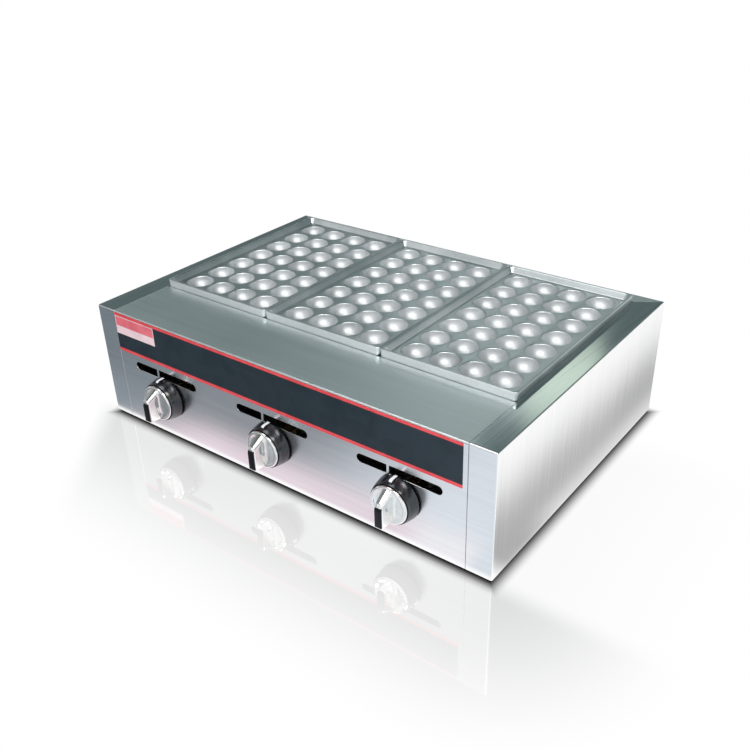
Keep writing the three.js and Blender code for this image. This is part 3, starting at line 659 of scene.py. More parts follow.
def front_panel():
    panel = cut_panel("front_panel_sheet", (panel_low.x, FRONT - OVERRUN, BASE),
                      (panel_high.x, FRONT + SHEET, panel_high.z))
    start = FRONT - OVERRUN
    bm = bmesh.new()
    for tap in taps.values():
        for outline in slot_outlines(tap.x, tap.z + SLOT_RISE):
            add_prism(bm, outline, BACKWARDS, 2 * OVERRUN, lambda u, v: (u, start, v))
        add_hole(bm, SPINDLE_HOLE, tap.x, start, tap.z)
    combine(panel, from_bmesh("tool", bm), "DIFFERENCE")
    return flatten_faces(soften(panel, SHEET_EDGE))


def front_deck():
    panel = cut_panel("front_deck_sheet", (deck_low.x, FRONT - OVERRUN, deck_low.z),
                      (deck_high.x, deck_high.y, TOP + OVERRUN))
    return flatten_faces(soften(panel, SHEET_EDGE))


def rear_panel():
    half = HALF_WIDTH - REAR_RETURN - SEAM
    panel = cut_panel("rear_panel_sheet", (-half, BACK - SHEET, BASE),
                      (half, BACK + OVERRUN, TOP + OVERRUN))
    strip = combine(skin_box(), strip_tool(0, TOP - SHEET), "INTERSECT")
    combine(panel, strip, "UNION")
    vent_z = TOP - VENT_DROP
    start = BACK - OVERRUN
    radius = VENT_WIDTH / 2
    bm = bmesh.new()
    for station in STATIONS:
        low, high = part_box(f"plate_{station}")
        for step in range(VENT_COUNT):
            x = (low.x + high.x) / 2 + (step - (VENT_COUNT - 1) / 2) * VENT_PITCH
            reach = VENT_LENGTH / 2 - radius
            outline = [*arc((x, vent_z + reach), radius, 0, 2), *arc((x, vent_z - reach), radius, 2, 4)]
            add_prism(bm, outline, BACKWARDS, 2 * OVERRUN, lambda u, v: (u, start, v))
    for node, radius in (("rear_screw_left", SCREW_HOLE), ("rear_screw_right", SCREW_HOLE),
                         ("hose_barb", INLET_HOLE)):
        low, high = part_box(node)
        add_hole(bm, radius, (low.x + high.x) / 2, start, (low.z + high.z) / 2)
    combine(panel, from_bmesh("tool", bm), "DIFFERENCE")
    flatten_faces(soften(panel, SHEET_EDGE))
    # The rear strip takes the deck's steel, with its painted greenish reflection
    paint_by_normal(panel, ((UP, STRIP_REFLECTION_FINISH),))
    return panel


for side, name in ((-1, "left"), (1, "right")):
    finish_piece(side_panel(side, f"{name}_side_sheet"), "root", "steel", f"{name}_side_panel",
                 materials=[side_steel, strip_dark_reflection_steel, panel_steel, seam_highlight_steel])
finish_piece(front_panel(), "root", "steel", "front_panel", materials=[panel_steel])
finish_piece(front_deck(), "root", "deck_steel", "front_deck", materials=[deck_steel])
finish_piece(rear_panel(), "root", "steel", "rear_panel", materials=[rear_steel, deck_steel])


# Plates, with the places of their finishes in a plate's list
PLATE_FINISH = 0
CUP_SHADE_FINISH = 1
WALL_LIGHT_FINISH = 2


def frame_loop(bm, low, high, inset, radius, z):
    """A ring of vertices on a rectangle with round corners, inset from the plate's outline."""
    ring = []
    corners = ((high.x, high.y, 0), (low.x, high.y, 1), (low.x, low.y, 2), (high.x, low.y, 3))
    for x, y, quarter in corners:
        inward = Vector((-1 if x == high.x else 1, -1 if y == high.y else 1))
        centre = Vector((x, y)) + inward * (inset + radius)
        for point in arc(centre, radius, quarter, quarter + 1, CORNER_STEPS):
            ring.append(bm.verts.new((*point, z)))
    return ring


def cell_ring(bm, centre, half, z):
    """Vertices round a square cell, at even angles from its centre."""
    ring = []
    for angle in even_angles(CUP_SIDES):
        reach = half / max(abs(math.cos(angle)), abs(math.sin(angle)))
        x, y = centre[0] + reach * math.cos(angle), centre[1] + reach * math.sin(angle)
        ring.append(bm.verts.new((x, y, z)))
    return ring


def round_ring(bm, centre, radius, z):
    return [bm.verts.new((centre[0] + radius * math.cos(a), centre[1] + radius * math.sin(a), z))
            for a in even_angles(CUP_SIDES)]


def add_cup(bm, centre, floor, profile, material):
    """A square cell of floor that sinks into a cup along a profile of (radius, z) points."""
    before = set(bm.faces)
    rings = [cell_ring(bm, centre, CUP_PITCH / 2, floor)]
    rings += [round_ring(bm, centre, radius, z) for radius, z in profile]
    rings.append([bm.verts.new((*centre, profile[-1][1]))])
    join_row(bm, rings)
    for face in set(bm.faces) - before:
        if face.calc_center_median().z < floor - CUP_LIP / 2:
            face.material_index = material
    return rings[0]


def cup_bowl(floor):
    """The inside of a cup from its rounded lip to near its bottom."""
    profile = []
    for k in range(LIP_STEPS + 1):
        angle = math.pi / 2 * k / LIP_STEPS
        profile.append((CUP_RADIUS + CUP_LIP * (1 - math.sin(angle)),
                        floor - CUP_LIP * (1 - math.cos(angle))))
    start = math.asin(CUP_LIP / CUP_DEPTH)
    for k in range(1, CUP_STEPS):
        angle = start + (math.pi / 2 - start) * k / CUP_STEPS
        profile.append((CUP_RADIUS * math.cos(angle), floor - CUP_DEPTH * math.sin(angle)))
    profile.append((CUP_RADIUS * CUP_CENTRE_SHARE, floor - CUP_DEPTH))
    return profile


def cup_back(floor, ceiling):
    """The outside of a cup below the plate's underside."""
    width, depth = CUP_RADIUS + CUP_SIDE_WALL, CUP_DEPTH + CUP_BASE_WALL
    start = math.asin((floor - ceiling) / depth)
    profile = []
    for k in range(CUP_BACK_STEPS):
        angle = start + (math.pi / 2 - start) * k / CUP_BACK_STEPS
        profile.append((width * math.cos(angle), floor - depth * math.sin(angle)))
    profile.append((width * CUP_BACK_CENTRE_SHARE, floor - depth))
    return profile


def fill_flat(bm, outline, cells):
    """Fills the flat margin between an outline and a block of cells."""
    bmesh.ops.remove_doubles(bm, verts=[v for ring in cells for v in ring if v.is_valid], dist=SAME_LEVEL)
    level = outline[0].co.z
    edges = [e for e in bm.edges
             if e.is_boundary and all(abs(v.co.z - level) < SAME_LEVEL for v in e.verts)]
    bmesh.ops.triangle_fill(bm, edges=edges, use_beauty=True)


def cup_centres(low, high):
    middle = (low + high) / 2
    for column in range(CUP_COLUMNS):
        for row in range(CUP_ROWS):
            yield (middle.x + (column - (CUP_COLUMNS - 1) / 2) * CUP_PITCH,
                   middle.y + (row - (CUP_ROWS - 1) / 2) * CUP_PITCH)


def cooking_plate(station):
    """A shallow tray with a rim round its 28 cups, whose round backs show below."""
    low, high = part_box(f"plate_{station}")
    rim, base = high.z, high.z - PLATE_HEIGHT
    floor = rim - TRAY_DEPTH
    ceiling = floor - PLATE_FLOOR
    inner = PLATE_CORNER - PLATE_WALL
    tray = RIM + TRAY_SLOPE
    tray_top = TRAY_CORNER + TRAY_SLOPE
    edge = PLATE_EDGE
    bm = bmesh.new()
    # Each point is a loop's inset, corner radius and height, with shares of the edge as its rounding
    section = [
        (PLATE_WALL + edge, inner - edge, ceiling), (PLATE_WALL, inner, ceiling - edge),
        (PLATE_WALL, inner, base + edge / 2), (PLATE_WALL - edge / 2, inner + edge / 2, base),
        (edge / 2, PLATE_CORNER - edge / 2, base), (0, PLATE_CORNER, base + edge / 2),
        (0, PLATE_CORNER, rim - edge), (edge * 0.3, PLATE_CORNER - edge * 0.3, rim - edge * 0.3),
        (edge, PLATE_CORNER - edge, rim), (RIM - edge, tray_top + edge, rim),
        (RIM - edge * 0.1, tray_top + edge * 0.1, rim - edge * 0.25),
        (RIM + edge * 0.55, tray_top - edge * 0.55, rim - edge),
        (tray - edge * 0.6, TRAY_CORNER + edge * 0.6, floor + edge),
        (tray - edge * 0.05, TRAY_CORNER, floor + edge * 0.25),
        (tray + edge * 0.4, TRAY_CORNER - edge * 0.4, floor)]
    loops = [frame_loop(bm, low, high, inset, radius, z) for inset, radius, z in section]
    join_row(bm, loops)
    bowl, back = cup_bowl(floor), cup_back(floor, ceiling)
    # The insides of the cups take the darker copy of the casting, painted shade
    top_cells = [add_cup(bm, spot, floor, bowl, CUP_SHADE_FINISH) for spot in cup_centres(low, high)]
    fill_flat(bm, loops[-1], top_cells)
    back_cells = [add_cup(bm, spot, ceiling, back, PLATE_FINISH) for spot in cup_centres(low, high)]
    fill_flat(bm, loops[0], back_cells)
    plate = smooth(from_bmesh(f"plate_{station}_casting", bm), math.radians(50))
    # The front wall of each tray takes the lighter copy of the casting, painted light
    for face in plate.data.polygons:
        if face.center.y < low.y + edge and face.normal.y < -NEARLY_FLAT:
            face.material_index = WALL_LIGHT_FINISH
    return plate


for station in STATIONS:
    finish_piece(cooking_plate(station), f"plate_{station}", "cast_plate", f"plate_{station}",
                 materials=[cast_plate, cup_shaded_cast, plate_front_lit])


# Knobs, with the places of their finishes in a skirt's list
INDEX_HIGHLIGHT_FINISH = 1
GROOVE_SHADE_FINISH = 2


def knob_skirt(station):
    """The black skirt, hollow behind, with a groove round the dial, painted a duller black as painted
    shade, and a raised index on its rim, painted white along its top as a painted highlight."""
    low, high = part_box(f"knob_skirt_{station}")
    tap = taps[station]
    radius, depth = (high.x - low.x) / 2, high.y - low.y
    front = radius - SKIRT_TAPER
    face = front - SKIRT_BEVEL
    inner = radius - SKIRT_WALL
    profile = [
        (SOCKET_RADIUS, SKIRT_GROOVE), (face - SKIRT_LIP, SKIRT_GROOVE), (face - SKIRT_LIP, 0), (face, 0),
        (front, SKIRT_BEVEL_DEPTH), (radius, depth), (inner, depth), (inner - SKIRT_TAPER, SKIRT_WEB),
        (HUB_RADIUS, SKIRT_WEB), (HUB_RADIUS, depth - HUB_SETBACK), (SOCKET_RADIUS, depth - HUB_SETBACK)]
    origin = Vector((tap.x, low.y, tap.z))
    skirt = turned(f"knob_skirt_{station}_moulding", rounded(profile, SKIRT_FILLET, ring=True), origin,
                   BACKWARDS, FINE_SIDES, ring=True)
    half = INDEX_WIDTH / 2
    bm = bmesh.new()
    top = high.z - tap.z
    start, end, root = SKIRT_BEVEL_DEPTH / 2, depth - SKIRT_BEVEL, face - SKIRT_BEVEL
    outline = rounded([(start, root), (start, top - half), (start + half, top), (end, top), (end, root)],
                      half / 2, ring=True)
    add_prism(bm, outline, SIDEWAYS, INDEX_WIDTH, lambda u, v: (tap.x - half, low.y + u, tap.z + v))
    ridge = soften(from_bmesh("tool", bm), INDEX_EDGE, 3)
    combine(skirt, ridge, "UNION")
    smooth(skirt)
    # Top faces of the index take the white, a painted highlight; faces in the groove take the dull inlay
    # black, painted shade
    for polygon in skirt.data.polygons:
        spot = polygon.center
        from_axis = math.hypot(spot.x - tap.x, spot.z - tap.z)
        if spot.z > tap.z + radius + CUT_EDGE and polygon.normal.z > INDEX_SLANT:
            polygon.material_index = INDEX_HIGHLIGHT_FINISH
        elif CUT_EDGE < spot.y - low.y < 2 * SKIRT_GROOVE and from_axis < face:
            polygon.material_index = GROOVE_SHADE_FINISH
    return skirt


dial_low, dial_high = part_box("knob_dial_left")
GRIP_HEIGHT = dial_high.y - DIAL_EDGE - dial_low.y


def grip_level(share):
    """Half width, spread of the upper ridge, top, bottom, and squareness at the top and bottom,
    at a share of the grip's height."""
    flare = max(0.0, 1 - share * GRIP_HEIGHT / GRIP_FLARE_HEIGHT)
    half = GRIP_ROOT_HALF_WIDTH + (GRIP_HALF_WIDTH - GRIP_ROOT_HALF_WIDTH) * share
    half += GRIP_FLARE * (1 - math.sqrt(1 - flare ** 2))
    top = GRIP_ROOT_TOP + (GRIP_FRONT_TOP - GRIP_ROOT_TOP) * share
    bottom = GRIP_ROOT_BOTTOM + (GRIP_FRONT_BOTTOM - GRIP_ROOT_BOTTOM) * share
    square_top = GRIP_TOP_SQUARENESS + GRIP_TOP_GAIN * share
    square_bottom = GRIP_BOTTOM_SQUARENESS + GRIP_BOTTOM_GAIN * share
    return half, GRIP_RIDGE_SPREAD * (1 - share), top, bottom, square_top, square_bottom


def grip_ring(bm, tap, y, half, spread, top, bottom, square_top, square_bottom):
    """A ring of vertices on the grip's outline, a rounded upright bar in X and Z."""
    ring = []
    for angle in even_angles(FINE_SIDES):
        u, v = math.cos(angle), math.sin(angle)
        reach, square = (top, square_top) if v > 0 else (bottom, square_bottom)
        x = (half + spread * max(0.0, v) ** 2) * math.copysign(abs(u) ** (2 / square), u)
        z = reach * math.copysign(abs(v) ** (2 / square), v)
        ring.append(bm.verts.new((tap.x + x, y, tap.z + z)))
    return ring


def grip_tool(tap, start):
    """The grip as a closed form that rises out of the dial."""
    bm = bmesh.new()
    rings = [grip_ring(bm, tap, start + DIAL_EDGE - DISH_FLOOR / 2, *grip_level(0))]
    for k in range(GRIP_LEVELS + 1):
        share = (k / GRIP_LEVELS) ** GRIP_LEVEL_POWER * (1 - GRIP_EDGE / GRIP_HEIGHT)
        rings.append(grip_ring(bm, tap, start - share * GRIP_HEIGHT, *grip_level(share)))
    half, spread, top, bottom, *square = grip_level(1)
    for k in range(1, FILLET_STEPS + 1):
        angle = math.pi / 2 * k / FILLET_STEPS
        shrink = GRIP_EDGE * (1 - math.cos(angle))
        y = start - GRIP_HEIGHT + GRIP_EDGE * (1 - math.sin(angle))
        rings.append(grip_ring(bm, tap, y, half - shrink, spread, top - shrink, bottom - shrink, *square))
    join_row(bm, rings)
    bm.faces.new(rings[0])
    bm.faces.new(rings[-1])
    return from_bmesh("tool", bm)


def knob_dial(station):
    """The chrome dial: a dished disc with a bright ring, and an upright grip across it."""
    low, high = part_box(f"knob_dial_{station}")
    inlay_low, inlay_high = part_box(f"knob_inlay_{station}")
    tap = taps[station]
    radius = (high.x - low.x) / 2
    face = high.y
    crown = DIAL_EDGE + DIAL_DOME
    profile = [(0, DISH_FLOOR), (DISH_RADIUS, DISH_FLOOR), (RING_RADIUS, crown),
               (radius - DIAL_SHOULDER, crown), (radius, crown - DIAL_SHOULDER), (radius, 0), (0, 0)]
    dial = turned(f"knob_dial_{station}_casting", rounded(profile, DIAL_FILLET, DIAL_FILLET_STEPS),
                  Vector((tap.x, face, tap.z)), -BACKWARDS, FINE_SIDES)
    combine(dial, grip_tool(tap, face - DIAL_EDGE), "UNION")
    recess_low = Vector((inlay_low.x - SEAM, low.y - OVERRUN, low.z - OVERRUN))
    recess_high = Vector((inlay_high.x + SEAM, inlay_high.y + SEAM, inlay_high.z + SEAM))
    combine(dial, box_tool((recess_low, recess_high)), "DIFFERENCE")
    return smooth(dial, DIAL_SMOOTHING)


def knob_inlay(station):
    """The black strip, whose upper end slopes back with the grip."""
    low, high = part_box(f"knob_inlay_{station}")
    bm = bmesh.new()
    outline = rounded([(high.y, low.z), (low.y, low.z), (low.y, high.z - INLAY_SLOPE),
                       (low.y + INLAY_SLOPE / 2, high.z), (high.y, high.z)], INLAY_SLOPE / 2, ring=True)
    add_prism(bm, outline, SIDEWAYS, high.x - low.x, lambda u, v: (low.x, u, v))
    return soften(from_bmesh(f"knob_inlay_{station}_strip", bm), INLAY_EDGE, 3)


for station in STATIONS:
    body = f"knob_{station}"
    finish_piece(knob_skirt(station), body, "knob_black", f"knob_skirt_{station}",
                 materials=[knob_black, index_highlight_white, inlay_black])
    finish_piece(knob_dial(station), body, "knob_chrome", f"knob_dial_{station}", materials=[chrome])
    finish_piece(knob_inlay(station), body, "knob_black", f"knob_inlay_{station}",
                 materials=[inlay_black])


# Front band and label
BAND_TOP_LINE = 0.0036
BAND_BOTTOM_LINE = 0.0045
LABEL_SPLIT_SHARE = 0.42
LABEL_BORDER = 0.0012


def banded_slab(name, node, heights, indices):
    """A thin plate whose front is divided at the given heights, each band with its own colour."""
    low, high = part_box(node)
    bm = bmesh.new()
    levels = [low.z, *heights, high.z]
    rings = []
    for z in levels:
        corners = ((low.x, low.y, z), (high.x, low.y, z), (high.x, high.y, z), (low.x, high.y, z))
        rings.append([bm.verts.new(corner) for corner in corners])
    bm.faces.new(rings[0]).material_index = indices[0]
    bm.faces.new(rings[-1]).material_index = indices[-1]
    for first, second, index in zip(rings, rings[1:], indices):
        before = set(bm.faces)
        join_rings(bm, first, second)
        for face in set(bm.faces) - before:
            face.material_index = index
    return from_bmesh(name, bm)


def frame_field(slab, border):
    """Leaves a border round the upper front face of a slab and gives its middle the first colour."""
    bm = bmesh.new()
    bm.from_mesh(slab.data)
    facing = [f for f in bm.faces if f.normal.y < -NEARLY_FLAT]
    front = max(facing, key=lambda f: f.calc_center_median().z)
    bmesh.ops.inset_individual(bm, faces=[front], thickness=border)
    front.material_index = 0
    bm.to_mesh(slab.data)
    bm.free()


band_low, band_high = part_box("front_decal")
band = banded_slab("front_band_film", "front_decal",
                   (band_low.z + BAND_BOTTOM_LINE, band_high.z - BAND_TOP_LINE), (1, 0, 1))
finish_piece(smooth(band), "root", "black_band", "front_decal", materials=[band_black, band_red])
label_low, label_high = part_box("blank_label")
label_split = label_low.z + (label_high.z - label_low.z) * LABEL_SPLIT_SHARE
label = banded_slab("blank_label_film", "blank_label", (label_split,), (1, 1))
frame_field(label, LABEL_BORDER)
finish_piece(smooth(label), "root", "label", "blank_label", materials=[label_red, label_pale])


# The nodes that keep their own shape
KEPT = (
    (inner_steel, ("bottom_tray", "ledge_front", "ledge_rear", "ledge_left", "ledge_right",
                   "plate_rail_left", "plate_rail_right", "manifold_bracket_left",
                   "manifold_bracket_right", "burner_rail_front", "burner_rail_rear")),
    (pipe_steel, ("gas_manifold", "inlet_pipe", "rear_screw_left", "rear_screw_right")),
    (brass, ("hose_barb",)),
    (rubber, ("foot_front_left", "foot_front_right", "foot_rear_left", "foot_rear_right")),
)
KEPT_THRICE = (
    (iron, "burner_head"), (tube_metal, "mixing_tube"), (shutter_steel, "air_shutter"),
    (brass, "injector"), (brass, "valve_body"), (brass, "valve_cone"), (pipe_steel, "spindle"),
)


def refinish(node, material):
    slots = frame["nodes"][node].data.materials
    slots.clear()
    slots.append(material)


for material, nodes_kept in KEPT:
    for node in nodes_kept:
        refinish(node, material)
for material, kind in KEPT_THRICE:
    for station in STATIONS:
        refinish(f"{kind}_{station}", material)


# Camera, as the photograph was taken
CAMERA_PLACE = Vector((0.6911, FRONT - 0.6695, 0.6994))
CAMERA_AZIMUTH = math.radians(37.983)
CAMERA_ELEVATION = math.radians(29.394)
CAMERA_ROLL = math.radians(-1.704)
SENSOR = 36.0
CLIP_START = 0.01
IMAGE_SIDE = 750.0
FOCAL_PIXELS = 891.82


def studio_camera():
    sin_a, cos_a = math.sin(CAMERA_AZIMUTH), math.cos(CAMERA_AZIMUTH)
    sin_e, cos_e = math.sin(CAMERA_ELEVATION), math.cos(CAMERA_ELEVATION)
    back = Vector((sin_a * cos_e, -cos_a * cos_e, sin_e))
    level = Vector((cos_a, sin_a, 0))
    upright = back.cross(level)
    right = level * math.cos(CAMERA_ROLL) + upright * math.sin(CAMERA_ROLL)
    up = upright * math.cos(CAMERA_ROLL) - level * math.sin(CAMERA_ROLL)
    data = bpy.data.cameras.new("camera")
    data.sensor_width = SENSOR
    data.lens = FOCAL_PIXELS / IMAGE_SIDE * SENSOR
    data.clip_start = CLIP_START
    camera = link("camera", data)
    turn = Matrix((right, up, back)).transposed().to_4x4()
    camera.matrix_world = Matrix.Translation(CAMERA_PLACE) @ turn
    bpy.context.scene.camera = camera


studio_camera()

# Floor, world and lamps
FLOOR_HALF = 8.0
# The painted contact shadow: ambient occlusion within a short reach, and a ramp from under the body to
# just outside its outline
CONTACT_REACH = 0.006
CONTACT_START = -0.0055
CONTACT_END = 0.0165
MIRROR_SHARE = 0.30
MIRROR_REACH = 0.24
MIRROR_BESIDE = 0.18
# The nearly black tone of the painted contact shadow, as the camera and mirrors see it
PAINTED_SHADOW_TONE = (0.02, 0.02, 0.02)
MATT_LIT = (0.86, 0.86, 0.86)
WHITE = (1.0, 1.0, 1.0)
# Glow tones that only mirroring surfaces see on the floor: painted reflections that shade the panels,
# with a painted highlight along their foot
PAINTED_REFLECTION_LEFT = (0.20, 0.24, 0.27)
PAINTED_REFLECTION_LOW = (0.31, 0.34, 0.37)
PAINTED_REFLECTION_WARM = (1.0, 0.86, 0.93)
PAINTED_REFLECTION_COOL = (0.86, 0.93, 1.0)
PAINTED_REFLECTION_PALE = (1.08, 1.07, 1.10)
PAINTED_FOOT_HIGHLIGHT = (1.30, 1.30, 1.30)
PAINTED_REFLECTION_LEFT_FOOT = (0.31, 0.36, 0.40)
PAINTED_REFLECTION_SIDE_LOW = (0.49, 0.49, 0.49)
PAINTED_REFLECTION_SIDE_FOOT = (0.78, 0.78, 0.78)
PAINTED_REFLECTION_SIDE_HIGH = (1.20, 1.20, 1.20)
SKY_HIGH = (0.165, 0.21, 0.215)
SKY_OVERHEAD = (0.06, 0.08, 0.08)
SKY_FRONT = (1.00, 1.01, 1.02)
SKY_LEFT = (0.44, 0.46, 0.47)
SKY_TOP = (0.16, 0.17, 0.17)
WINDOW = (1.22, 1.36, 1.18)
GLOW = (1.45, 1.62, 1.66)
WINDOW_AZIMUTH = math.radians(28)
WINDOW_ELEVATION = math.radians(30)
CONTACT_SAMPLES = 8
MIRROR_ROUGHNESS = 0.05
MIRROR_LEFT_SLOPE = 0.78

# Ramps over the floor in metres: where a tone or share starts, and where it is full
MIRROR_LEFT_RAMP = (-0.05, 0.01)
MIRROR_AHEAD_RAMP = (-0.02, 0.02)
MIRROR_BACK_RAMP = (-0.40, -0.30)
NEAR_LEFT_RAMP = (-0.36, -0.14)
NEAR_RIGHT_RAMP = (0.30, 0.27)
NEAR_RAMP = (0.083, 0.02)
LOW_RAMP = (-0.60, -0.15)
COOL_RAMP = (-0.08, 0.21)
PALE_RAMP = (0.17, 0.23)
FOOT_RAMP = (0.0125, 0.0105)
LEFT_FOOT_RAMP = (-0.26, -0.33)
LEFT_FOOT_REACH_RAMP = (0.12, 0.04)
SIDE_FOOT_RAMP = (0.030, 0.010)
SIDE_FOOT_BACK_RAMP = (-0.08, -0.18)
SIDE_HIGH_RAMP = (0.051, 0.106)
SIDE_RAMP = (-0.01, 0.01)
SIDE_BACK_RAMP = (0.0, -0.05)

# Ramps over the sky, in the parts of a direction of length one
RIGHT_SKY_RAMP = (-0.15, 0.15)
LOW_RIGHT_RAMP = (0.34, 0.18)
LOW_LEFT_RAMP = (0.20, 0.07)
OVERHEAD_RAMP = (0.60, 0.72)
LEFT_SKY_RAMP = (-0.70, -0.30)
HORIZON_RAMP = (0.05, 0.18)
TOP_RAMP = (0.60, 0.74)
AHEAD_RAMP = (0.10, -0.25)
FACING_RAMP = (0.4, 0.5)
WINDOW_LEFT_RAMP = (0.009, 0.022)
WINDOW_RIGHT_RAMP = (0.101, 0.091)
WINDOW_TOP_RAMP = (0.055, 0.020)
WINDOW_FOOT_RAMP = (-0.060, -0.046)
GLOW_LEFT_RAMP = (-0.16, -0.06)
GLOW_RIGHT_RAMP = (0.03, 0.01)
GLOW_TOP_RAMP = (0.095, 0.065)
GLOW_FOOT_RAMP = (-0.10, -0.06)
GLOW_GAP_RAMP = (-0.060, -0.035)
GLOW_GAP_FOOT_RAMP = (0.0, 0.03)


def painted_reflection_tone(nodes, x, front, right):
    """What polished surfaces mirror, a painted reflection that only mirrors see: a dim glow ahead that
    turns brighter to the right and at the body's foot, where it paints a highlight line, and a glow of
    its own beside the right side."""
    between = nodes.times(nodes.step(x, *NEAR_LEFT_RAMP), nodes.step(x, *NEAR_RIGHT_RAMP))
    near = nodes.times(nodes.step(front, *NEAR_RAMP), between)
    tone = nodes.tint(nodes.step(x, *LOW_RAMP), PAINTED_REFLECTION_LEFT, PAINTED_REFLECTION_LOW)
    tone = nodes.tint(nodes.step(x, *COOL_RAMP), tone, PAINTED_REFLECTION_COOL)
    left_foot = nodes.times(nodes.step(x, *LEFT_FOOT_RAMP), nodes.step(front, *LEFT_FOOT_REACH_RAMP))
    tone = nodes.tint(left_foot, tone, PAINTED_REFLECTION_LEFT_FOOT)
    tone = nodes.tint(near, tone, nodes.tint(nodes.step(x, *PALE_RAMP), PAINTED_REFLECTION_WARM, PAINTED_REFLECTION_PALE))
    tone = nodes.tint(nodes.step(front, *FOOT_RAMP), tone, PAINTED_FOOT_HIGHLIGHT)
    side_foot = nodes.times(nodes.step(right, *SIDE_FOOT_RAMP), nodes.step(front, *SIDE_FOOT_BACK_RAMP))
    side_low = nodes.tint(side_foot, PAINTED_REFLECTION_SIDE_LOW, PAINTED_REFLECTION_SIDE_FOOT)
    beside = nodes.tint(nodes.step(right, *SIDE_HIGH_RAMP), side_low, PAINTED_REFLECTION_SIDE_HIGH)
    at_side = nodes.times(nodes.step(front, *SIDE_BACK_RAMP), nodes.step(right, *SIDE_RAMP))
    return nodes.tint(at_side, tone, beside)


def floor_material():
    """Pale and slightly mirroring near the object, and lifted to white where nothing stands near, with a
    painted
    contact shadow: under the body and along its foot the camera and mirrors see it nearly black. Only the
    camera and mirroring surfaces see it so, and mirrors see a painted reflection pattern in its glow:
    scattered light meets a plain matt floor."""
    made = bpy.data.materials.new("studio_floor")
    made.use_nodes = True
    made.node_tree.nodes.clear()
    nodes = Nodes(made.node_tree)
    split = nodes.node("ShaderNodeSeparateXYZ")
    nodes.wire(nodes.node("ShaderNodeTexCoord").outputs["Object"], split.inputs[0])
    x, y = split.outputs[0], split.outputs[1]
    front = nodes.math("SUBTRACT", FRONT, y)
    right = nodes.math("SUBTRACT", x, HALF_WIDTH)
    path = nodes.node("ShaderNodeLightPath")
    seen = path.outputs["Is Camera Ray"]
    mirrored = nodes.math("MAXIMUM", path.outputs["Is Glossy Ray"], path.outputs["Is Transmission Ray"])
    shown = nodes.math("MAXIMUM", seen, mirrored)
    open_air = nodes.fill(nodes.node("ShaderNodeAmbientOcclusion", samples=CONTACT_SAMPLES),
                          Distance=CONTACT_REACH)
    aside = nodes.math("SUBTRACT", nodes.math("ABSOLUTE", x), HALF_WIDTH)
    from_middle = nodes.math("ABSOLUTE", nodes.math("SUBTRACT", y, (FRONT + BACK) / 2))
    beyond = nodes.math("SUBTRACT", from_middle, (BACK - FRONT) / 2)
    # The footprint mask of the painted contact shadow: no white lift under the body, and a short ramp
    # outside it
    outside = nodes.step(nodes.math("MAXIMUM", aside, beyond), CONTACT_START, CONTACT_END)
    clear = nodes.math("MAXIMUM", nodes.times(open_air.outputs["AO"], outside), mirrored)
    lift = nodes.times(clear, shown)
    matt = nodes.fill(nodes.node("ShaderNodeBsdfDiffuse"), Color=nodes.tint(shown, MATT_LIT, PAINTED_SHADOW_TONE))
    # Mirrors see the painted reflection pattern in the glow; the camera sees it plain white
    glow_tone = nodes.tint(mirrored, WHITE, painted_reflection_tone(nodes, x, front, right))
    glow = nodes.fill(nodes.node("ShaderNodeEmission"), Color=glow_tone)
    pale = nodes.cover(lift, matt.outputs[0], glow.outputs[0])
    mirror = nodes.fill(nodes.node("ShaderNodeBsdfGlossy"), Roughness=MIRROR_ROUGHNESS, Color=WHITE)
    away_x, away_y = nodes.math("MAXIMUM", right, 0.0), nodes.math("MAXIMUM", front, 0.0)
    away = nodes.math("SQRT", nodes.math("ADD", nodes.times(away_x, away_x), nodes.times(away_y, away_y)))
    slant = nodes.times(away_y, MIRROR_LEFT_SLOPE)
    left_limit = nodes.math("SUBTRACT", nodes.math("ADD", x, HALF_WIDTH), slant)
    close = nodes.step(away, MIRROR_REACH, 0.0, 0.0, MIRROR_SHARE)
    share = nodes.times(close, nodes.step(left_limit, *MIRROR_LEFT_RAMP))
    ahead = nodes.step(front, *MIRROR_AHEAD_RAMP, MIRROR_BESIDE, 1.0)
    share = nodes.times(share, nodes.times(ahead, nodes.step(front, *MIRROR_BACK_RAMP)), outside, seen)
    surface = nodes.cover(share, pale, mirror.outputs[0])
    nodes.wire(surface, nodes.node("ShaderNodeOutputMaterial").inputs["Surface"])
    return made


def studio_floor():
    bm = bmesh.new()
    bmesh.ops.create_grid(bm, x_segments=1, y_segments=1, size=FLOOR_HALF)
    mesh = bpy.data.meshes.new("floor")
    bm.to_mesh(mesh)
    bm.free()
    floor = link("floor", mesh)
    floor.data.materials.append(floor_material())


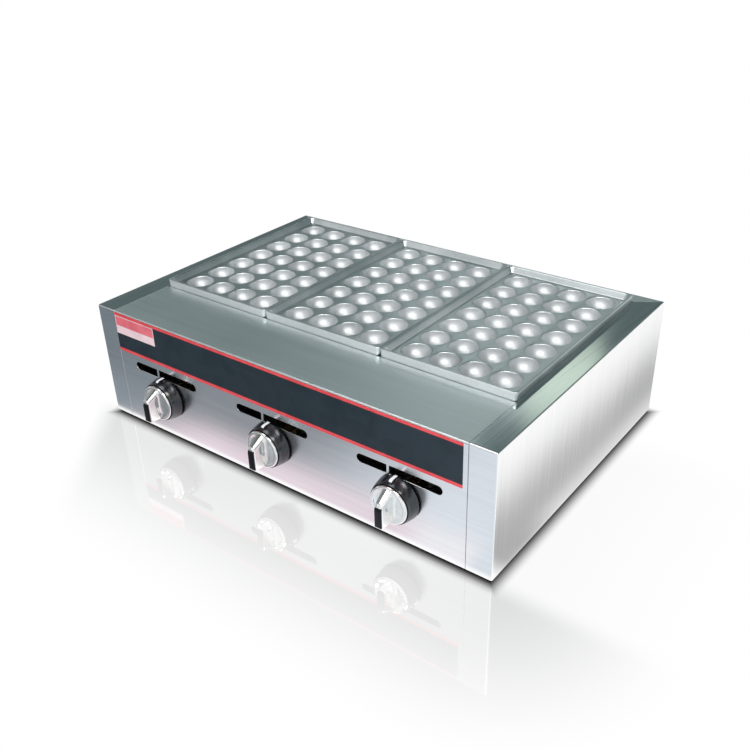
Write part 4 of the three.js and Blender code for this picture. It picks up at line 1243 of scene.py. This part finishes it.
def studio_world():
    """White round the horizon, dim and greenish above the back, pale in front, with a window and a
    glow beside it behind. The camera itself sees plain white."""
    world = bpy.data.worlds.new("studio")
    bpy.context.scene.world = world
    world.use_nodes = True
    world.node_tree.nodes.clear()
    nodes = Nodes(world.node_tree)
    way = nodes.node("ShaderNodeTexCoord").outputs["Generated"]
    split = nodes.node("ShaderNodeSeparateXYZ")
    nodes.wire(way, split.inputs[0])
    x, y, z = split.outputs

    def along(direction):
        dot = nodes.node("ShaderNodeVectorMath", operation="DOT_PRODUCT")
        nodes.wire(way, dot.inputs[0])
        dot.inputs[1].default_value = direction
        return dot.outputs["Value"]

    right_side = nodes.step(x, *RIGHT_SKY_RAMP)
    low_right = nodes.times(nodes.step(z, *LOW_RIGHT_RAMP), right_side)
    low_left = nodes.times(nodes.step(z, *LOW_LEFT_RAMP), nodes.rest(right_side))
    high_tone = nodes.tint(nodes.step(z, *OVERHEAD_RAMP), SKY_HIGH, SKY_OVERHEAD)
    behind = nodes.tint(nodes.math("ADD", low_right, low_left), high_tone, WHITE)
    front_tone = nodes.tint(nodes.step(x, *LEFT_SKY_RAMP), SKY_LEFT, SKY_FRONT)
    ahead = nodes.tint(nodes.step(z, *HORIZON_RAMP), WHITE, front_tone)
    ahead = nodes.tint(nodes.step(z, *TOP_RAMP), ahead, SKY_TOP)
    sky = nodes.tint(nodes.step(y, *AHEAD_RAMP), behind, ahead)
    sin_a, cos_a = math.sin(WINDOW_AZIMUTH), math.cos(WINDOW_AZIMUTH)
    sin_e, cos_e = math.sin(WINDOW_ELEVATION), math.cos(WINDOW_ELEVATION)
    across = along((cos_a, sin_a, 0))
    upright = along((sin_a * sin_e, -cos_a * sin_e, cos_e))
    facing = nodes.step(along((-sin_a * cos_e, cos_a * cos_e, sin_e)), *FACING_RAMP)
    gap = nodes.times(nodes.step(across, *GLOW_GAP_RAMP), nodes.step(upright, *GLOW_GAP_FOOT_RAMP))
    glow_width = nodes.times(nodes.step(across, *GLOW_LEFT_RAMP), nodes.rest(gap),
                             nodes.step(across, *GLOW_RIGHT_RAMP))
    glow_height = nodes.times(nodes.step(upright, *GLOW_TOP_RAMP), nodes.step(upright, *GLOW_FOOT_RAMP))
    width = nodes.times(nodes.step(across, *WINDOW_LEFT_RAMP), nodes.step(across, *WINDOW_RIGHT_RAMP))
    height = nodes.times(nodes.step(upright, *WINDOW_TOP_RAMP), nodes.step(upright, *WINDOW_FOOT_RAMP))
    sky = nodes.tint(nodes.times(glow_width, nodes.times(glow_height, facing)), sky, GLOW)
    sky = nodes.tint(nodes.times(width, nodes.times(height, facing)), sky, WINDOW)
    seen = nodes.node("ShaderNodeLightPath").outputs["Is Camera Ray"]
    light = nodes.fill(nodes.node("ShaderNodeBackground"), Color=nodes.tint(seen, sky, WHITE))
    nodes.wire(light.outputs[0], nodes.node("ShaderNodeOutputWorld").inputs["Surface"])


LAMP_TARGET = Vector((0, 0, 0.1))


def softbox(name, place, width, height, power):
    """A rectangular lamp of a width, height and power in watts, aimed at the object."""
    data = bpy.data.lights.new(name, "AREA")
    data.shape = "RECTANGLE"
    data.size = width
    data.size_y = height
    data.energy = power
    lamp = link(name, data)
    aim = LAMP_TARGET - Vector(place)
    lamp.matrix_world = Matrix.Translation(place) @ aim.to_track_quat("-Z", "Y").to_matrix().to_4x4()


studio_floor()
studio_world()
softbox("key", (0.95, -0.95, 2.05), 1.6, 0.6, 30)
softbox("fill", (-0.55, -0.45, 2.2), 1.0, 1.0, 10)
softbox("front", (-0.75, -1.7, 1.15), 0.8, 0.6, 0.5)

bpy.context.scene.view_settings.view_transform = "Standard"
